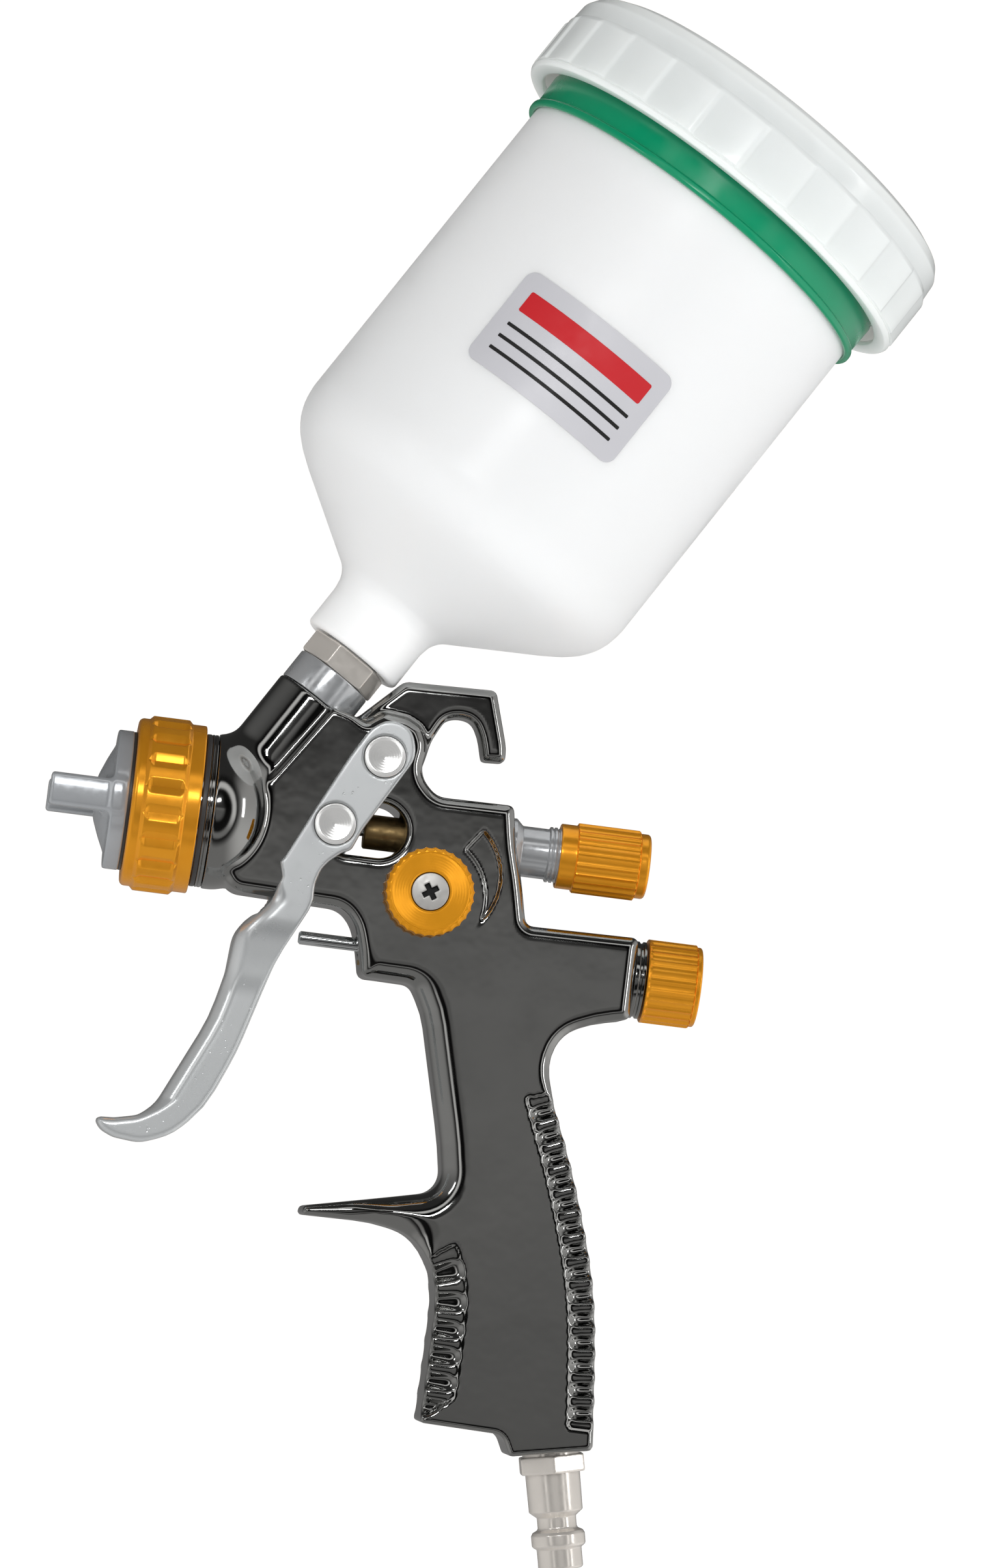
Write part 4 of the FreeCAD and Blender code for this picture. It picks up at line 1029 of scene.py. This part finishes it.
# ---- air plug
def make_air_plug():
    """Quick-connect plug under the handle, with its passage."""
    hexagon_prism("plug_hexagon", "air_plug", PLUG_AXIS, 0.0, 4.0, 8.1, math.radians(32), 3.5, NICKEL)
    outline = rounded([
        (-10.5, 3.5), (-10.5, 6.4), (0.2, 6.4), (3.6, 6.1, 0.3), (12.4, 6.0, 0.5), (13.7, 4.37, 0.4),
        (16.3, 4.37, 0.8), (16.9, 5.6, 0.4), (17.6, 6.0, 0.6), (20.0, 6.0, 0.8), (20.7, 5.0, 0.4),
        (25.25, 5.0, 0.7), (25.25, 3.5, 0.2)])
    vertices, faces = turn_profile(PLUG_AXIS, outline, 96)
    make_piece("plug_stem", vertices, faces, NICKEL, "gun", slot="nickel_brass")


# ---- pieces shown as the frame has them
FRAME_MATERIALS = {
    "smoked_chrome": CHROME, "plated_steel": PLATED, "polished_steel": STEEL, "gold_anodised": GOLD,
    "nickel_brass": NICKEL, "brass": BRASS, "stainless": SPINDLE, "cup_plastic": CUP_PLASTIC,
    "lid_plastic": LID_PLASTIC, "green_ring": GREEN, "label_foil": FOIL, "black_rubber": RUBBER,
    "seal_plastic": SEAL_PLASTIC,
}


def finish_frame_nodes():
    """Give each CAD node the material of its slot."""
    for node, piece in frame["nodes"].items():
        material = FRAME_MATERIALS[node_slot(node)]
        if not piece.data.materials:
            piece.data.materials.append(material)
        for index in range(len(piece.data.materials)):
            piece.data.materials[index] = material
        piece.data.set_sharp_from_angle(angle=math.radians(35))


finish_frame_nodes()
make_gun_body()
make_trigger()
make_studs()
make_retaining_ring()
make_air_cap()
make_head_rings()
make_fluid_line()
make_air_knob()
make_fan_knob()
coil_spring("needle_spring", SPRAY_AXIS, 2.8, 0.45, 16)
coil_spring("air_valve_spring", VALVE_AXIS, 3.6, 0.45, 12)
make_cup()
make_label()
make_air_plug()


# ---- camera, light and floor
def make_camera():
    """A long lens a little in front of the gun and below it, rolled as the gun is held."""
    aim = Vector((87.7, 0.0, 14.1)) * MM
    spot = Vector((-35.0, -1500.0, -94.0)) * MM
    roll = math.radians(7.3)
    forward = (aim - spot).normalized()
    right = Vector((math.cos(roll), 0, math.sin(roll)))
    right = (right - right.dot(forward) * forward).normalized()
    up = right.cross(forward)
    data = bpy.data.cameras.new("camera")
    data.sensor_width = 36
    data.lens = 155.4
    data.clip_end = 20
    camera = bpy.data.objects.new("camera", data)
    camera.matrix_world = Matrix((
        (right.x, up.x, -forward.x, spot.x), (right.y, up.y, -forward.y, spot.y),
        (right.z, up.z, -forward.z, spot.z), (0, 0, 0, 1)))
    bpy.context.scene.collection.objects.link(camera)
    bpy.context.scene.camera = camera


def make_softbox(name, place, aim, wide, tall, power, mirrored=True):
    """A large soft lamp; one that isn't mirrored lights surfaces without showing in polished metal."""
    data = bpy.data.lights.new(name, "AREA")
    data.shape = "RECTANGLE"
    data.size, data.size_y = wide, tall
    data.energy = power
    lamp = bpy.data.objects.new(name, data)
    lamp.location = place
    lamp.rotation_mode = "QUATERNION"
    lamp.rotation_quaternion = (Vector(aim) - Vector(place)).to_track_quat("-Z", "Y")
    lamp.visible_glossy = mirrored
    bpy.context.scene.collection.objects.link(lamp)


def make_stage():
    """Plain white floor under the plug. Polished metal doesn't mirror it."""
    level = low("air_plug")[2] * MM - 0.12
    reach = 5.0
    corners = [(x * reach, y * reach, level) for x, y in ((-1, -1), (1, -1), (1, 1), (-1, 1))]
    mesh = bpy.data.meshes.new("floor")
    mesh.from_pydata(corners, [], [(0, 1, 2, 3)])
    surface = Surface("floor", (0.3, 0.3, 0.3), 0.0, 0.9)
    surface.put("Emission Color", (1, 1, 1, 1))
    surface.put("Emission Strength", 0.95)
    mesh.materials.append(surface.material)
    floor = bpy.data.objects.new("floor", mesh)
    floor.visible_glossy = False
    bpy.context.scene.collection.objects.link(floor)


def make_room():
    """Even light; polished metal sees grey behind the camera, then dark, a bright band and dim walls.

    The camera itself sees plain white.
    """
    world = bpy.data.worlds.new("room")
    world.use_nodes = True
    tree = world.node_tree
    background = tree.nodes["Background"]

    def maths(operation, *inputs):
        """One operation on numbers or sockets."""
        return add_node(tree, "Math", enumerate(inputs), operation=operation).outputs[0]

    def soft(value, *limits):
        """Smooth change from one value to another."""
        return map_range(tree, value, *limits, interpolation_type="SMOOTHSTEP")

    place = add_node(tree, "TexCoord").outputs["Generated"]
    across, away, up = add_node(tree, "SeparateXYZ", {0: place}).outputs
    toward = maths("MULTIPLY", away, -1.0)
    walls = maths("MULTIPLY", soft(up, 0.25, 0.8, 0.95, 0.35), soft(toward, -0.2, 0.6, 0.95, 0.5))
    ahead = maths("MULTIPLY", soft(up, 0.045, 0.085, 1.0, 0.18), soft(up, -0.03, 0.03, 0.2, 0.28))
    sides = maths("ADD", soft(up, -0.5, 0.35, 0.34, 0.05),
                  maths("ADD", soft(across, 0.35, 0.9, 0.0, 0.55), soft(across, -0.95, -0.5, 0.2, 0.0)))
    band = maths("MULTIPLY", soft(toward, 0.7, 0.76, 0.0, 1.1), soft(toward, 0.8, 0.86, 1.0, 0.0))
    band = maths("MULTIPLY", band, soft(up, -0.5, 0.0, 0.3, 1.0))
    mirrored = maths("ADD", band, maths("ADD", maths("MULTIPLY", soft(toward, 0.94, 0.985, 0.0, 1.0), ahead),
                                        maths("MULTIPLY", soft(toward, 0.5, 0.72, 1.0, 0.04), sides)))
    path = add_node(tree, "LightPath")
    rays = path.outputs["Is Glossy Ray"]
    walls = maths("MAXIMUM", walls, maths("MULTIPLY", path.outputs["Is Camera Ray"], 1.05))
    level = maths("ADD", maths("MULTIPLY", rays, mirrored),
                  maths("MULTIPLY", maths("SUBTRACT", 1.0, rays), walls))
    background.inputs["Color"].default_value = (1.0, 0.985, 0.97, 1)
    tree.links.new(level, background.inputs["Strength"])
    bpy.context.scene.world = world


def make_lamps():
    """Softboxes left, right and over the camera; two more, above and in front, aren't mirrored."""
    gun = (0.05, 0, 0)
    make_softbox("left", (-1.1, -0.9, 0.45), gun, 0.14, 0.5, 1.5)
    make_softbox("right", (1.35, -0.75, 0.2), gun, 0.14, 0.6, 1.5)
    make_softbox("over_camera", (-0.05, -1.4, 0.38), gun, 0.4, 0.1, 2.4)
    make_softbox("top", (0.2, 0.2, 1.5), (0.08, 0, 0), 1.2, 0.5, 5.0, mirrored=False)
    make_softbox("fill", (0.3, -1.7, 0.5), (0.1, 0, 0.05), 1.2, 1.2, 12.0, mirrored=False)


make_camera()
make_stage()
make_room()
make_lamps()
bpy.context.scene.view_settings.view_transform = "Standard"
